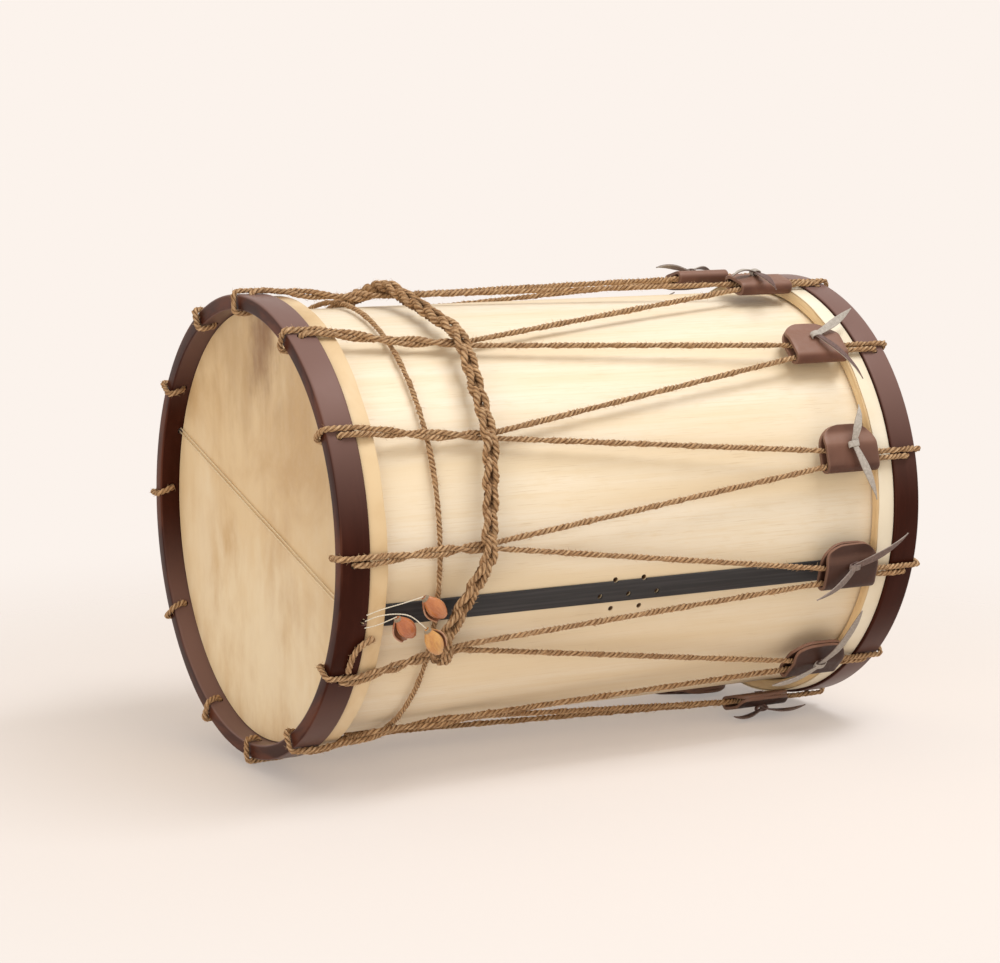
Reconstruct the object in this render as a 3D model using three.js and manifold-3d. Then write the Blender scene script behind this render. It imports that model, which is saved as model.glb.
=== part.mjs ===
// Rope-tensioned side drum lying on its side: a wooden shell with two skin heads, held by two counterhoops
// that one long rope pulls together. Leather tugs on the rope tighten it, and a gut snare with seed-shell
// jingles crosses the front head. Millimetres, +Z up, floor at z = 0, the drum's axis along X and its front
// (snare) head at -X. An angle round the drum is measured in degrees from the top, growing towards +Y.
import * as THREE from 'three';
import { mergeVertices } from 'three/addons/utils/BufferGeometryUtils.js';
import Module from 'manifold-3d';

const wasm = await Module();
wasm.setup();

// Shell, heads and hoops
const SHELL_DIAMETER = 305;
const SHELL_LENGTH = 441;
const SHELL_WALL = 6;
const BEARING_BEVEL = 2.5;
const SKIN_THICKNESS = 0.8;
const HEAD_RECESS = 14.4;
const HOOP_WIDTH = 21.4;
const HOOP_THICKNESS = 10.8;
const FLESH_HOOP_WIDTH = 12.4;
const FLESH_HOOP_THICKNESS = 8;
const FLESH_HOOP_SLACK = 1.2;
const GLUE_RING_WIDTH = 24;
const GLUE_RING_THICKNESS = 5;
const RING_SEGMENTS = 48;

// Gap that two touching pieces keep, and the hoop's slack over the skin
const SEAT_GAP = 0.3;
const HOOP_SLACK = 0.6;

// Seam strip and vent rosette on the near side
const STRIP_ANGLE = 254.3;
const STRIP_WIDTH = 16.2;
const STRIP_THICKNESS = 1.2;
const STRIP_STEPS = 4;
const VENT_DIAMETER = 4;
const VENT_PITCH = 23.4;
const VENT_ROW_HEIGHT = 11.2;
const VENT_CENTRE = -5;
const VENT_ANGLE = 253.3;
const VENT_SIDES = 10;

// Tension rope
const LOOPS = 12;
const ROPE_DIAMETER = 4.3;
const ROPE_SIDES = 6;
const ROPE_TURN_RADIUS = 2.8;
const ROPE_HOLE_INSET = 9.2;
const ROPE_HOLE_SLACK = 1.1;
const HOLE_SIDES = 8;
const STRAND_GAP = 0.5;
const CORNER_STEPS = 2;
const LOOP_LEAN = 0.2;
const TWIST_STEPS = 4;
const TWIST_REST = 8;
const TWIST_ROOM = 15;

// Where each pair is tied: distance of the tie behind the front hoop's end face, and how far the tie pulls
// the pair round the shell, in degrees, for the pairs at 0, 30, 60 ... 330 degrees
const TIE_REACH = [112, 114, 115, 115, 114, 112, 118, 136, 92, 109, 118, 124];
const TIE_PULL = [-2, 0, 0, 0, 0, 0, 0, 4, 4, 0.5, -2.5, -4.5];
const TIE_TO_SPREAD = 7;

// How far each front loop sits from its even place round the hoop, in degrees
const LOOP_SHIFT = [0, -4, -3.5, -2.5, 1, 5, 2.5, 0, 0, 0, 0, 0];

// Girth rope, chain braid and rope tail
const GIRTH_REACH = 77;
const BRAID_WIDTH = 12.5;
const BRAID_THICKNESS = 9;
const BRAID_SIDES = 10;
const BRAID_FIRST_PAIR = 5;
const BRAID_PAIRS = 10;
const BRAID_FLAT = 2.5;
const BRAID_END_REACH = 78;
const TAIL_PAIR = 8;
const TAIL_STEPS = 7;
const TAIL_SIDES = 8;

// Rope tail's route beside its pair: distance behind the front hoop's end face, and distance round the drum
// from where it touches the pair
const TAIL_ROUTE = [[12, 0], [12.3, 7], [13.5, 14], [16.5, 19.6], [20.5, 22.8], [27, 24]];

// Leather tugs and their thongs
const TUG_LENGTH = 45;
const TUG_LEATHER = 2.4;
const TUG_REAR_GAP = 4;
const TUG_SLACK = 0.9;
const TUG_FLAP_REACH = 24;
const TUG_FLAP_CORNER = 14;
const TUG_FLAP_CORNER_LENGTH = 16;
const TUG_FLAP_DROOP = 4.4;
const TUG_CORNER_STEPS = 3;
const TUG_FOLD_STEPS = 6;
const MOUTH_SPREAD = 12;
const THONG_WIDTH = 6.2;
const THONG_THICKNESS = 1.4;
const THONG_TIP = 1.6;
const THONG_TAPER_START = 0.6;
const THONG_BITE = 0.15;
const THONG_SLIT_SLACK = 0.5;
const THONG_HEAD = 8;

// Tail tips of each thong from its slit, along the drum and round it, for the tugs at 15, 45 ... 345 degrees
const THONG_TAILS = [
  [[-40, -14], [30, 16]],
  [[34, 22], [18, -38]],
  [[12, 30], [-28, -24]],
  [[36, 20], [-26, -28]],
  [[10, 32], [24, -34]],
  [[34, -12], [-34, -14]],
  [[36, 8], [-32, 10]],
  [[6, 64], [-36, -17]],
  [[42, 24], [-32, -22]],
  [[8, 28], [12, -42]],
  [[42, 22], [18, -46]],
  [[-10, -44], [-30, -14]],
];

// Gut snare on the front head and the strings and jingles at its near end
const GUT_DIAMETER = 1.2;
const SNARE_SPREAD = 3.2;
const SNARE_NEAR_ANGLE = 255.2;
const SNARE_FAR_ANGLE = 70;
const SNARE_EXIT_INSET = 19;
const SNARE_HOLE_SLACK = 1;
const SNARE_SIDES = 6;
const STRING_DIAMETER = 0.9;
const STRING_SIDES = 8;
const STRING_STEPS = 7;
const POD_LENGTH = 22;
const POD_WIDTH = 15;
const POD_FLATNESS = 0.75;
const POD_WALL = 1.4;
const POD_SPLIT_WIDTH = 3.4;
const POD_SPLIT_LENGTH = 14;
const POD_SIDES = 10;
const POD_SWELL_START = 0.04;
const POD_SWELL_SPAN = 0.82;
const POD_SWELL_POWER = 0.8;
const POD_STEPS = 5;

// Each jingle: points of its string and its pod's tip, as distance behind the front hoop's end face,
// angle round the drum and height above the shell
const JINGLES = [
  {
    string: [[19.6, 257, 13.2], [30, 258.4, 15.2], [46, 259.4, 15], [60, 260.4, 14.6]],
    tip: [75, 255.4, 16],
  },
  {
    string: [[19.2, 253.8, 13.2], [26, 254.6, 15.6], [34, 255.5, 16], [41, 256.2, 15.4]],
    tip: [50, 250.2, 14],
  },
  {
    string: [[19.4, 255.4, 12.4], [27, 256.9, 16], [38, 257.5, 19], [48, 257, 22], [59, 254.2, 25]],
    tip: [71.5, 248.8, 26.5],
  },
];

// Sizes that follow from these
const shellRadius = SHELL_DIAMETER / 2;
const ropeRadius = ROPE_DIAMETER / 2;
const skinInner = shellRadius + SEAT_GAP;
const skinOuter = skinInner + SKIN_THICKNESS;
const hoopInner = skinOuter + HOOP_SLACK;
const hoopOuter = hoopInner + HOOP_THICKNESS;
const headFace = SHELL_LENGTH / 2 + SEAT_GAP + SKIN_THICKNESS;
const hoopEnd = headFace + HEAD_RECESS;
const lapFace = hoopEnd - HOOP_WIDTH - SEAT_GAP;
const fleshFace = lapFace - SKIN_THICKNESS - SEAT_GAP;
const fleshBack = fleshFace - FLESH_HOOP_WIDTH;
const fleshInner = shellRadius + FLESH_HOOP_SLACK;
const fleshOuter = fleshInner + FLESH_HOOP_THICKNESS;
const lapInner = fleshOuter + SEAT_GAP;
const lapOuter = lapInner + SKIN_THICKNESS;
const stripInner = shellRadius + SEAT_GAP;
const stripOuter = stripInner + STRIP_THICKNESS;
const ropeLead = ropeRadius + SEAT_GAP;
const ropeOverHoop = hoopOuter + ropeLead;
const ropeInsideHoop = hoopInner * Math.cos(Math.PI / RING_SEGMENTS) - ropeLead;
const strandOffset = ropeRadius + STRAND_GAP / 2;
const girthRadius = stripOuter + SEAT_GAP + ropeRadius;
const pairRadius = girthRadius + ROPE_DIAMETER + SEAT_GAP;
const braidRadius = pairRadius + ropeRadius + SEAT_GAP + BRAID_THICKNESS / 2;
const loopStep = 360 / LOOPS;
const frontAngles = LOOP_SHIFT.map((shift, index) => index * loopStep + shift);
const rearAngles = LOOP_SHIFT.map((shift, index) => (index + 0.5) * loopStep);
const tugRear = fleshBack - TUG_REAR_GAP;
const tugFront = tugRear - TUG_LENGTH;
const tugCentre = (tugRear + tugFront) / 2;

const radians = THREE.MathUtils.degToRad;

// Point on a circle round the drum's axis
function around(x, angle, radius) {
  return new THREE.Vector3(x, radius * Math.sin(radians(angle)), radius * Math.cos(radians(angle)));
}

// Angle in degrees that an arc of the given length takes at a radius
function arcAngle(length, radius) {
  return THREE.MathUtils.radToDeg(length / radius);
}

// A closed geometry as a solid that can be cut and joined
function toSolid(geometry) {
  geometry.deleteAttribute('normal');
  geometry.deleteAttribute('uv');
  const merged = mergeVertices(geometry);
  const vertProperties = new Float32Array(merged.attributes.position.array);
  const triVerts = new Uint32Array(merged.index.array);
  return new wasm.Manifold(new wasm.Mesh({ numProp: 3, vertProperties, triVerts }));
}

// A cut or joined solid as a geometry again
function toGeometry(solid) {
  const mesh = solid.getMesh();
  const geometry = new THREE.BufferGeometry();
  geometry.setAttribute('position', new THREE.BufferAttribute(mesh.vertProperties, 3));
  geometry.setIndex(new THREE.BufferAttribute(mesh.triVerts, 1));
  geometry.computeVertexNormals();
  return geometry;
}

// Body turned about the drum's axis from a profile of [radius, x] points
function turned(profile) {
  const points = profile.map(([radius, x]) => new THREE.Vector2(radius, x));
  return new THREE.LatheGeometry(points, RING_SEGMENTS).rotateZ(-Math.PI / 2);
}

// Ring of rectangular section
function ring(inner, outer, low, high) {
  return turned([[inner, low], [outer, low], [outer, high], [inner, high], [inner, low]]);
}

// Round drill standing out from the drum's axis at a place and angle
function drill(x, angle, diameter, low, high, sides) {
  const bit = new THREE.CylinderGeometry(diameter / 2, diameter / 2, high - low, sides);
  bit.rotateX(Math.PI / 2).translate(x, 0, (low + high) / 2);
  return bit.rotateX(-radians(angle));
}

// Route whose rings stand exactly at its points, so that straight runs need no rings between their ends
class Route extends THREE.Curve {
  constructor(points) {
    super();
    this.points = points;
  }

  getPoint(t, target = new THREE.Vector3()) {
    const last = this.points.length - 1;
    const index = Math.min(Math.floor(t * last), last - 1);
    return target.lerpVectors(this.points[index], this.points[index + 1], t * last - index);
  }

  getPointAt(t, target) {
    return this.getPoint(t, target);
  }

  getTangentAt(t, target = new THREE.Vector3()) {
    const last = this.points.length - 1;
    const index = Math.round(t * last);
    const here = this.points[index];
    const before = here.clone().sub(this.points[Math.max(index - 1, 0)]).normalize();
    const after = this.points[Math.min(index + 1, last)].clone().sub(here).normalize();
    return target.addVectors(before, after).normalize();
  }
}

// Cord of oval section along a route of points
function cord(points, width, height, sides) {
  const outline = [];
  for (let side = 0; side < sides; side += 1) {
    const turn = (2 * Math.PI * (side + 0.5)) / sides;
    outline.push(new THREE.Vector2((width / 2) * Math.cos(turn), (height / 2) * Math.sin(turn)));
  }
  const steps = points.length - 1;
  const extrudePath = new Route(points);
  return new THREE.ExtrudeGeometry(new THREE.Shape(outline), { steps, extrudePath });
}

const drum = new THREE.Group();

// Adds one named piece with its own finish, turned to an angle round the drum
function addPiece(name, geometry, finish, angle = 0) {
  const mesh = new THREE.Mesh(geometry, new THREE.MeshStandardMaterial(finish));
  mesh.name = name;
  mesh.rotation.x = -radians(angle);
  drum.add(mesh);
}

const PALE_WOOD = { color: 0xf0dfba, roughness: 0.55, metalness: 0 };
const HOOP_PAINT = { color: 0x4a2220, roughness: 0.4, metalness: 0 };
const RING_WOOD = { color: 0xe3bf83, roughness: 0.6, metalness: 0 };
const CALFSKIN = { color: 0xe9d9b8, roughness: 0.5, metalness: 0 };
const STRIP_BLACK = { color: 0x1c1a1c, roughness: 0.6, metalness: 0 };
const JUTE = { color: 0xa98355, roughness: 0.9, metalness: 0 };
const TUG_BROWN = { color: 0x5a3026, roughness: 0.5, metalness: 0 };
const THONG_GREY = { color: 0xb3aaa2, roughness: 0.7, metalness: 0 };
const GUT = { color: 0xd9b877, roughness: 0.4, metalness: 0 };
const STRING_WHITE = { color: 0xf1ead8, roughness: 0.6, metalness: 0 };
const SEED_SHELL = { color: 0xc9824f, roughness: 0.35, metalness: 0 };

// Vent rosette: rows of two, three and two holes
const ventPlaces = [];
for (const row of [-1, 0, 1]) {
  const holes = row === 0 ? 3 : 2;
  for (let hole = 0; hole < holes; hole += 1) {
    const x = VENT_CENTRE + (hole - (holes - 1) / 2) * VENT_PITCH;
    ventPlaces.push([x, VENT_ANGLE + arcAngle(row * VENT_ROW_HEIGHT, shellRadius)]);
  }
}

function ventDrills() {
  const low = shellRadius - 2 * SHELL_WALL;
  const high = shellRadius + 2 * SHELL_WALL;
  return ventPlaces.map(([x, angle]) => toSolid(drill(x, angle, VENT_DIAMETER, low, high, VENT_SIDES)));
}

// Shell with a bevelled bearing edge at each end
const shellBore = shellRadius - SHELL_WALL;
const shellEnd = SHELL_LENGTH / 2;
let shell = toSolid(turned([
  [shellBore, BEARING_BEVEL - shellEnd],
  [shellBore + BEARING_BEVEL, -shellEnd],
  [shellRadius, -shellEnd],
  [shellRadius, shellEnd],
  [shellBore + BEARING_BEVEL, shellEnd],
  [shellBore, shellEnd - BEARING_BEVEL],
  [shellBore, BEARING_BEVEL - shellEnd],
]));
for (const vent of ventDrills()) {
  shell = shell.subtract(vent);
}
addPiece('shell', toGeometry(shell), PALE_WOOD);

// Dark strip glued over the shell's seam, between the two flesh hoops
const stripHalfAngle = arcAngle(STRIP_WIDTH / 2, stripOuter);
const stripOutline = [];
for (let step = 0; step <= STRIP_STEPS; step += 1) {
  const angle = STRIP_ANGLE - stripHalfAngle + (2 * stripHalfAngle * step) / STRIP_STEPS;
  stripOutline.push(around(0, angle, stripOuter));
  stripOutline.unshift(around(0, angle, stripInner));
}
const stripShape = new THREE.Shape(stripOutline.map((point) => new THREE.Vector2(-point.z, point.y)));
const stripLength = 2 * (fleshBack - SEAT_GAP);
const stripBlank = new THREE.ExtrudeGeometry(stripShape, { depth: stripLength, bevelEnabled: false });
let strip = toSolid(stripBlank.translate(0, 0, -stripLength / 2).rotateY(Math.PI / 2));
for (const vent of ventDrills()) {
  strip = strip.subtract(vent);
}
addPiece('seam_strip', toGeometry(strip), STRIP_BLACK);

// Pieces that each end has: glue ring inside the shell, flesh hoop, lapped head and counterhoop
const snareFace = headFace + SEAT_GAP + GUT_DIAMETER / 2;
const snareHole = SNARE_SPREAD + GUT_DIAMETER + SNARE_HOLE_SLACK;

// Drill for the snare's near end, which slopes from the head out through the hoop's outer face
function slopingDrill() {
  const inside = new THREE.Vector3(-snareFace, 0, hoopInner);
  const outside = new THREE.Vector3(SNARE_EXIT_INSET - hoopEnd, 0, hoopOuter);
  const way = outside.clone().sub(inside);
  const bit = new THREE.CylinderGeometry(snareHole / 2, snareHole / 2, 2 * way.length(), HOLE_SIDES);
  const turn = new THREE.Quaternion().setFromUnitVectors(new THREE.Vector3(0, 1, 0), way.clone().normalize());
  bit.applyQuaternion(turn).translate(...inside.add(outside).multiplyScalar(0.5).toArray());
  return bit.rotateX(-radians(SNARE_NEAR_ANGLE));
}

for (const [end, side, loopAngles] of [['front', -1, frontAngles], ['rear', 1, rearAngles]]) {
  const facing = (profile) => profile.map(([radius, x]) => [radius, side * x]);
  const outward = (profile) => turned(side > 0 ? facing(profile) : facing(profile).reverse());

  const glueLow = shellEnd - BEARING_BEVEL - GLUE_RING_WIDTH;
  const glueOuter = shellBore - SEAT_GAP;
  const glueInner = glueOuter - GLUE_RING_THICKNESS;
  addPiece(`${end}_glue_ring`, outward([
    [glueInner, glueLow],
    [glueOuter, glueLow],
    [glueOuter, glueLow + GLUE_RING_WIDTH],
    [glueInner, glueLow + GLUE_RING_WIDTH],
    [glueInner, glueLow],
  ]), PALE_WOOD);

  addPiece(`${end}_flesh_hoop`, outward([
    [fleshInner, fleshBack],
    [fleshOuter, fleshBack],
    [fleshOuter, fleshFace],
    [fleshInner, fleshFace],
    [fleshInner, fleshBack],
  ]), RING_WOOD);

  addPiece(`${end}_head`, outward([
    [0, headFace - SKIN_THICKNESS],
    [skinInner, headFace - SKIN_THICKNESS],
    [skinInner, lapFace - SKIN_THICKNESS],
    [lapInner, lapFace - SKIN_THICKNESS],
    [lapInner, fleshBack],
    [lapOuter, fleshBack],
    [lapOuter, lapFace],
    [skinOuter, lapFace],
    [skinOuter, headFace],
    [0, headFace],
  ]), CALFSKIN);

  const low = Math.min(side * hoopEnd, side * (hoopEnd - HOOP_WIDTH));
  let counterhoop = toSolid(ring(hoopInner, hoopOuter, low, low + HOOP_WIDTH));
  const drillLow = hoopInner - HOOP_THICKNESS;
  const drillHigh = hoopOuter + HOOP_THICKNESS;
  const holeAngle = arcAngle(strandOffset, ropeOverHoop);
  for (const loopAngle of loopAngles) {
    const x = side * (hoopEnd - ROPE_HOLE_INSET);
    const angle = loopAngle - holeAngle;
    const bit = drill(x, angle, ROPE_DIAMETER + ROPE_HOLE_SLACK, drillLow, drillHigh, HOLE_SIDES);
    counterhoop = counterhoop.subtract(toSolid(bit));
  }
  if (end === 'front') {
    const farBit = drill(-snareFace, SNARE_FAR_ANGLE, snareHole, drillLow, drillHigh, HOLE_SIDES);
    counterhoop = counterhoop.subtract(toSolid(farBit));
    counterhoop = counterhoop.subtract(toSolid(slopingDrill()));
  }
  addPiece(`${end}_counterhoop`, toGeometry(counterhoop), HOOP_PAINT);
}

// Quarter turns of the rope in the plane of its axial distance behind the hoop's end face and its radius
function quarterTurn(centre, radius, from) {
  const places = [];
  for (let step = 0; step <= CORNER_STEPS; step += 1) {
    const turn = from + (Math.PI / 2) * (step / CORNER_STEPS);
    places.push([centre[0] + radius * Math.cos(turn), centre[1] + radius * Math.sin(turn)]);
  }
  return places;
}

// Rope loop at a hoop, from the strand that goes over its end face to the strand that comes out of its hole.
// The loop is given in the two halves that meet on the hoop's inner face.
function hoopLoop(side, angle) {
  const turn = ROPE_TURN_RADIUS;
  const overEdge = [
    [HOOP_WIDTH, ropeOverHoop],
    ...quarterTurn([0, hoopOuter], ropeLead, Math.PI / 2),
    ...quarterTurn([0, hoopInner], ropeLead, Math.PI),
  ];
  const intoHole = quarterTurn([ROPE_HOLE_INSET - turn, ropeInsideHoop + turn], turn, -Math.PI / 2);
  const outOfHole = quarterTurn([ROPE_HOLE_INSET + turn, ropeOverHoop - turn], turn, Math.PI / 2).reverse();
  const throughHole = [...intoHole, ...outOfHole, [HOOP_WIDTH, ropeOverHoop]];
  const meet = (ROPE_HOLE_INSET - turn) / 2;
  overEdge.push([meet - SEAT_GAP / 2, ropeInsideHoop]);
  throughHole.unshift([meet + SEAT_GAP / 2, ropeInsideHoop]);

  // The strand over the edge lies at one side of the loop's angle and crosses to the other on its way in
  const innerTurn = overEdge.length - 2 - CORNER_STEPS;
  const meetShare = THREE.MathUtils.lerp(LOOP_LEAN, -1, 0.5);
  const shareAt = (index) => {
    if (index === overEdge.length - 1) {
      return meetShare;
    }
    return THREE.MathUtils.lerp(1, LOOP_LEAN, Math.max(index - innerTurn, 0) / CORNER_STEPS);
  };
  const place = ([inset, radius], share) =>
    around(side * (hoopEnd - inset), angle + arcAngle(share * strandOffset, ropeOverHoop), radius);
  return {
    overEdge: overEdge.map((point, index) => place(point, shareAt(index))),
    throughHole: throughHole.map((point, index) => place(point, index === 0 ? meetShare : -1)),
  };
}

// Place of a pair's middle line and its two strands, from the front hoop to its tie
const girthX = GIRTH_REACH - hoopEnd;
const twistStart = -fleshBack;
function pairTie(index) {
  return { x: TIE_REACH[index] - hoopEnd, angle: index * loopStep + TIE_PULL[index] };
}

function pairStrand(index, strand) {
  const tie = pairTie(index);
  const hoopX = HOOP_WIDTH - hoopEnd;
  const points = [];
  const addAt = (x, twist) => {
    const share = THREE.MathUtils.clamp((x - hoopX) / (girthX - hoopX), 0, 1);
    const radius = THREE.MathUtils.lerp(ropeOverHoop, pairRadius, share);
    const along = (x - hoopX) / (tie.x - hoopX);
    const angle = THREE.MathUtils.lerp(frontAngles[index], tie.angle, along);
    const across = strand * strandOffset * Math.cos(twist);
    const up = strand * strandOffset * Math.sin(twist);
    points.push(around(x, angle + arcAngle(across, radius), radius + up));
  };
  const addTwist = (from, to, firstTwist, halfTurns) => {
    const steps = halfTurns * TWIST_STEPS;
    for (let step = 0; step <= steps; step += 1) {
      addAt(THREE.MathUtils.lerp(from, to, step / steps), firstTwist + (Math.PI * step) / TWIST_STEPS);
    }
  };
  // The pair makes one turn on itself, half of it past the girth rope where the tie leaves room
  const beforeGirth = girthX - TWIST_REST / 2;
  const afterGirth = girthX + TWIST_REST / 2;
  const twistEnd = tie.x - TWIST_REST;
  if (twistEnd - afterGirth < TWIST_ROOM) {
    addTwist(twistStart, beforeGirth, 0, 2);
  } else {
    addTwist(twistStart, beforeGirth, 0, 1);
    addTwist(afterGirth, twistEnd, Math.PI, 1);
  }
  addAt(tie.x + TIE_TO_SPREAD, 2 * Math.PI);
  return points;
}

// Strand from a tie to its tug, gathered in the tug and on to the rear hoop
function spreadStrand(index, strand) {
  const tie = pairTie(index);
  const rearX = hoopEnd - HOOP_WIDTH;
  const rearAngle = (index + strand / 2) * loopStep;
  const radiusAt = (x) => THREE.MathUtils.mapLinear(x, tie.x, rearX, pairRadius, ropeOverHoop);
  const gathered = (x, offset) => {
    const radius = radiusAt(x);
    return around(x, rearAngle - arcAngle(strand * offset, radius), radius);
  };
  return [gathered(tugFront, MOUTH_SPREAD / 2), gathered(tugRear, strandOffset)];
}

// Twelve stretches of the tension rope, each from one rear loop round a front loop to the next rear loop
for (let index = 0; index < LOOPS; index += 1) {
  const front = hoopLoop(-1, frontAngles[index]);
  const rearBefore = hoopLoop(1, rearAngles.at(index - 1));
  const rearAfter = hoopLoop(1, rearAngles[index]);
  const frontLoop = [...front.overEdge.slice(0, -1), ...front.throughHole.slice(1)];
  const points = [
    ...rearBefore.overEdge.reverse(),
    ...spreadStrand(index, -1).reverse(),
    ...pairStrand(index, -1).reverse(),
    ...frontLoop.reverse(),
    ...pairStrand(index, 1),
    ...spreadStrand(index, 1),
    ...rearAfter.throughHole.reverse(),
  ];
  const name = `tension_rope_${String(index + 1).padStart(2, '0')}`;
  addPiece(name, cord(points, ROPE_DIAMETER, ROPE_DIAMETER, ROPE_SIDES), JUTE);
}

// Girth rope, a ring under the pairs
const girth = new THREE.TorusGeometry(girthRadius, ropeRadius, ROPE_SIDES, RING_SEGMENTS);
addPiece('girth_rope', girth.rotateY(Math.PI / 2).translate(girthX, 0, 0), JUTE);

// Chain braid, which lies across the tied pairs, runs straight between them and ends nearer the front
const braidPoints = [];
for (let step = 0; step < BRAID_PAIRS; step += 1) {
  const index = (BRAID_FIRST_PAIR - step + LOOPS) % LOOPS;
  const tie = pairTie(index);
  const x = step === BRAID_PAIRS - 1 ? BRAID_END_REACH - hoopEnd : tie.x;
  braidPoints.push(around(x, tie.angle + BRAID_FLAT, braidRadius));
  braidPoints.push(around(x, tie.angle - BRAID_FLAT, braidRadius));
}
addPiece('chain_braid', cord(braidPoints, BRAID_WIDTH, BRAID_THICKNESS, BRAID_SIDES), JUTE);

// Rope tail, laid on the counterhoop beside its pair and down over its back edge
const tailStart = TAIL_PAIR * loopStep + arcAngle(strandOffset + ROPE_DIAMETER + SEAT_GAP, ropeOverHoop);
const tailKnots = TAIL_ROUTE.map(([reach, way]) => {
  const drop = Math.max(reach - HOOP_WIDTH, 0) / (TAIL_ROUTE.at(-1)[0] - HOOP_WIDTH);
  const radius = THREE.MathUtils.lerp(ropeOverHoop, lapOuter + ropeLead, drop);
  return around(reach - hoopEnd, tailStart + arcAngle(way, ropeOverHoop), radius);
});
const tailPoints = new THREE.CatmullRomCurve3(tailKnots).getSpacedPoints(TAIL_STEPS);
addPiece('rope_tail', cord(tailPoints, ROPE_DIAMETER, ROPE_DIAMETER, TAIL_SIDES), JUTE);

// Leather tug: a flat blank with rounded ends, folded round both strands of a rear loop. The outer flap droops
// towards the inner one past the thong
const tugShare = (tugCentre - girthX) / (hoopEnd - HOOP_WIDTH - girthX);
const tugRadius = THREE.MathUtils.lerp(pairRadius, ropeOverHoop, tugShare);
const foldRadius = ropeRadius + TUG_SLACK + TUG_LEATHER / 2;
const foldCentre = -MOUTH_SPREAD / 2 + SEAT_GAP;
const tugTop = tugRadius + foldRadius + TUG_LEATHER / 2;
const tugBottom = tugRadius - foldRadius - TUG_LEATHER / 2;
const slitOffset = MOUTH_SPREAD / 2 + ropeRadius + THONG_THICKNESS / 2 - SEAT_GAP;

// Rows of the folded blank from the inner flap's tip to the outer flap's tip: offset round the drum, height,
// outward direction of the leather's outer side, and half length
function tugRows() {
  const flap = [];
  for (let step = TUG_CORNER_STEPS; step >= 0; step -= 1) {
    const turn = ((Math.PI / 2) * step) / TUG_CORNER_STEPS;
    const offset = TUG_FLAP_REACH - TUG_FLAP_CORNER * (1 - Math.sin(turn));
    flap.push([offset, TUG_LENGTH / 2 - TUG_FLAP_CORNER_LENGTH * (1 - Math.cos(turn))]);
  }
  const rows = flap.map(([offset, half]) => ({ offset, height: -foldRadius, out: [0, -1], half }));
  for (let step = 0; step <= TUG_FOLD_STEPS; step += 1) {
    const turn = (Math.PI * step) / TUG_FOLD_STEPS;
    const out = [-Math.sin(turn), -Math.cos(turn)];
    rows.push({
      offset: foldCentre + foldRadius * out[0],
      height: foldRadius * out[1],
      out,
      half: TUG_LENGTH / 2,
    });
  }
  for (const [offset, half] of flap.reverse()) {
    const droop = TUG_FLAP_DROOP * (1 - (TUG_FLAP_REACH - offset) / TUG_FLAP_CORNER);
    rows.push({ offset, height: foldRadius - droop, out: [0, 1], half });
  }
  return rows;
}

function tugGeometry() {
  const rows = tugRows();
  const spans = rows.length - 1;
  const blank = new THREE.BoxGeometry(1, spans, 1, 1, spans, 1);
  const place = blank.attributes.position;
  for (let vertex = 0; vertex < place.count; vertex += 1) {
    const row = rows[Math.round(place.getY(vertex) + spans / 2)];
    const lift = place.getZ(vertex) * TUG_LEATHER;
    const x = tugCentre + 2 * place.getX(vertex) * row.half;
    place.setXYZ(vertex, x, row.offset + lift * row.out[0], tugRadius + row.height + lift * row.out[1]);
  }
  const slitLength = THONG_WIDTH + 2 * THONG_SLIT_SLACK;
  const slitWidth = THONG_THICKNESS + 2 * THONG_SLIT_SLACK;
  const slit = new THREE.BoxGeometry(slitLength, slitWidth, 4 * foldRadius);
  slit.translate(tugCentre, slitOffset, tugRadius);
  return toGeometry(toSolid(blank).subtract(toSolid(slit)));
}

// Tapered tail of a thong, flat on the outer flap at a given layer
function thongTail(tip, layer) {
  const length = Math.hypot(...tip);
  const half = THONG_WIDTH / 2;
  const shape = new THREE.Shape();
  shape.moveTo(-half, -half);
  shape.lineTo(length * THONG_TAPER_START, -half);
  shape.lineTo(length, -THONG_TIP / 2);
  shape.lineTo(length, THONG_TIP / 2);
  shape.lineTo(length * THONG_TAPER_START, half);
  shape.lineTo(-half, half);
  const tail = new THREE.ExtrudeGeometry(shape, { depth: THONG_THICKNESS, bevelEnabled: false });
  const height = tugTop + SEAT_GAP + layer * (THONG_THICKNESS - THONG_BITE);
  return tail.rotateZ(Math.atan2(tip[1], tip[0])).translate(tugCentre, slitOffset, height);
}

// Thong: a leg through both flaps, a flat head behind the inner one and two tails on the outer one
function thongGeometry(tails) {
  const headTop = tugBottom - SEAT_GAP;
  const headBottom = headTop - THONG_THICKNESS;
  const legTop = tugTop + SEAT_GAP + THONG_THICKNESS;
  const head = new THREE.BoxGeometry(THONG_HEAD, THONG_WIDTH, THONG_THICKNESS);
  head.translate(tugCentre, slitOffset, (headTop + headBottom) / 2);
  const leg = new THREE.BoxGeometry(THONG_WIDTH, THONG_THICKNESS, legTop - headBottom - THONG_THICKNESS / 2);
  leg.translate(tugCentre, slitOffset, (legTop + headBottom + THONG_THICKNESS / 2) / 2);
  const solid = tails.reduce((whole, tip, layer) => whole.add(toSolid(thongTail(tip, layer))), toSolid(leg));
  return toGeometry(solid.add(toSolid(head)));
}

for (let index = 0; index < LOOPS; index += 1) {
  const number = String(index + 1).padStart(2, '0');
  addPiece(`tug_${number}`, tugGeometry(), TUG_BROWN, rearAngles[index]);
  addPiece(`thong_${number}`, thongGeometry(THONG_TAILS[index]), THONG_GREY, rearAngles[index]);
}

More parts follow.
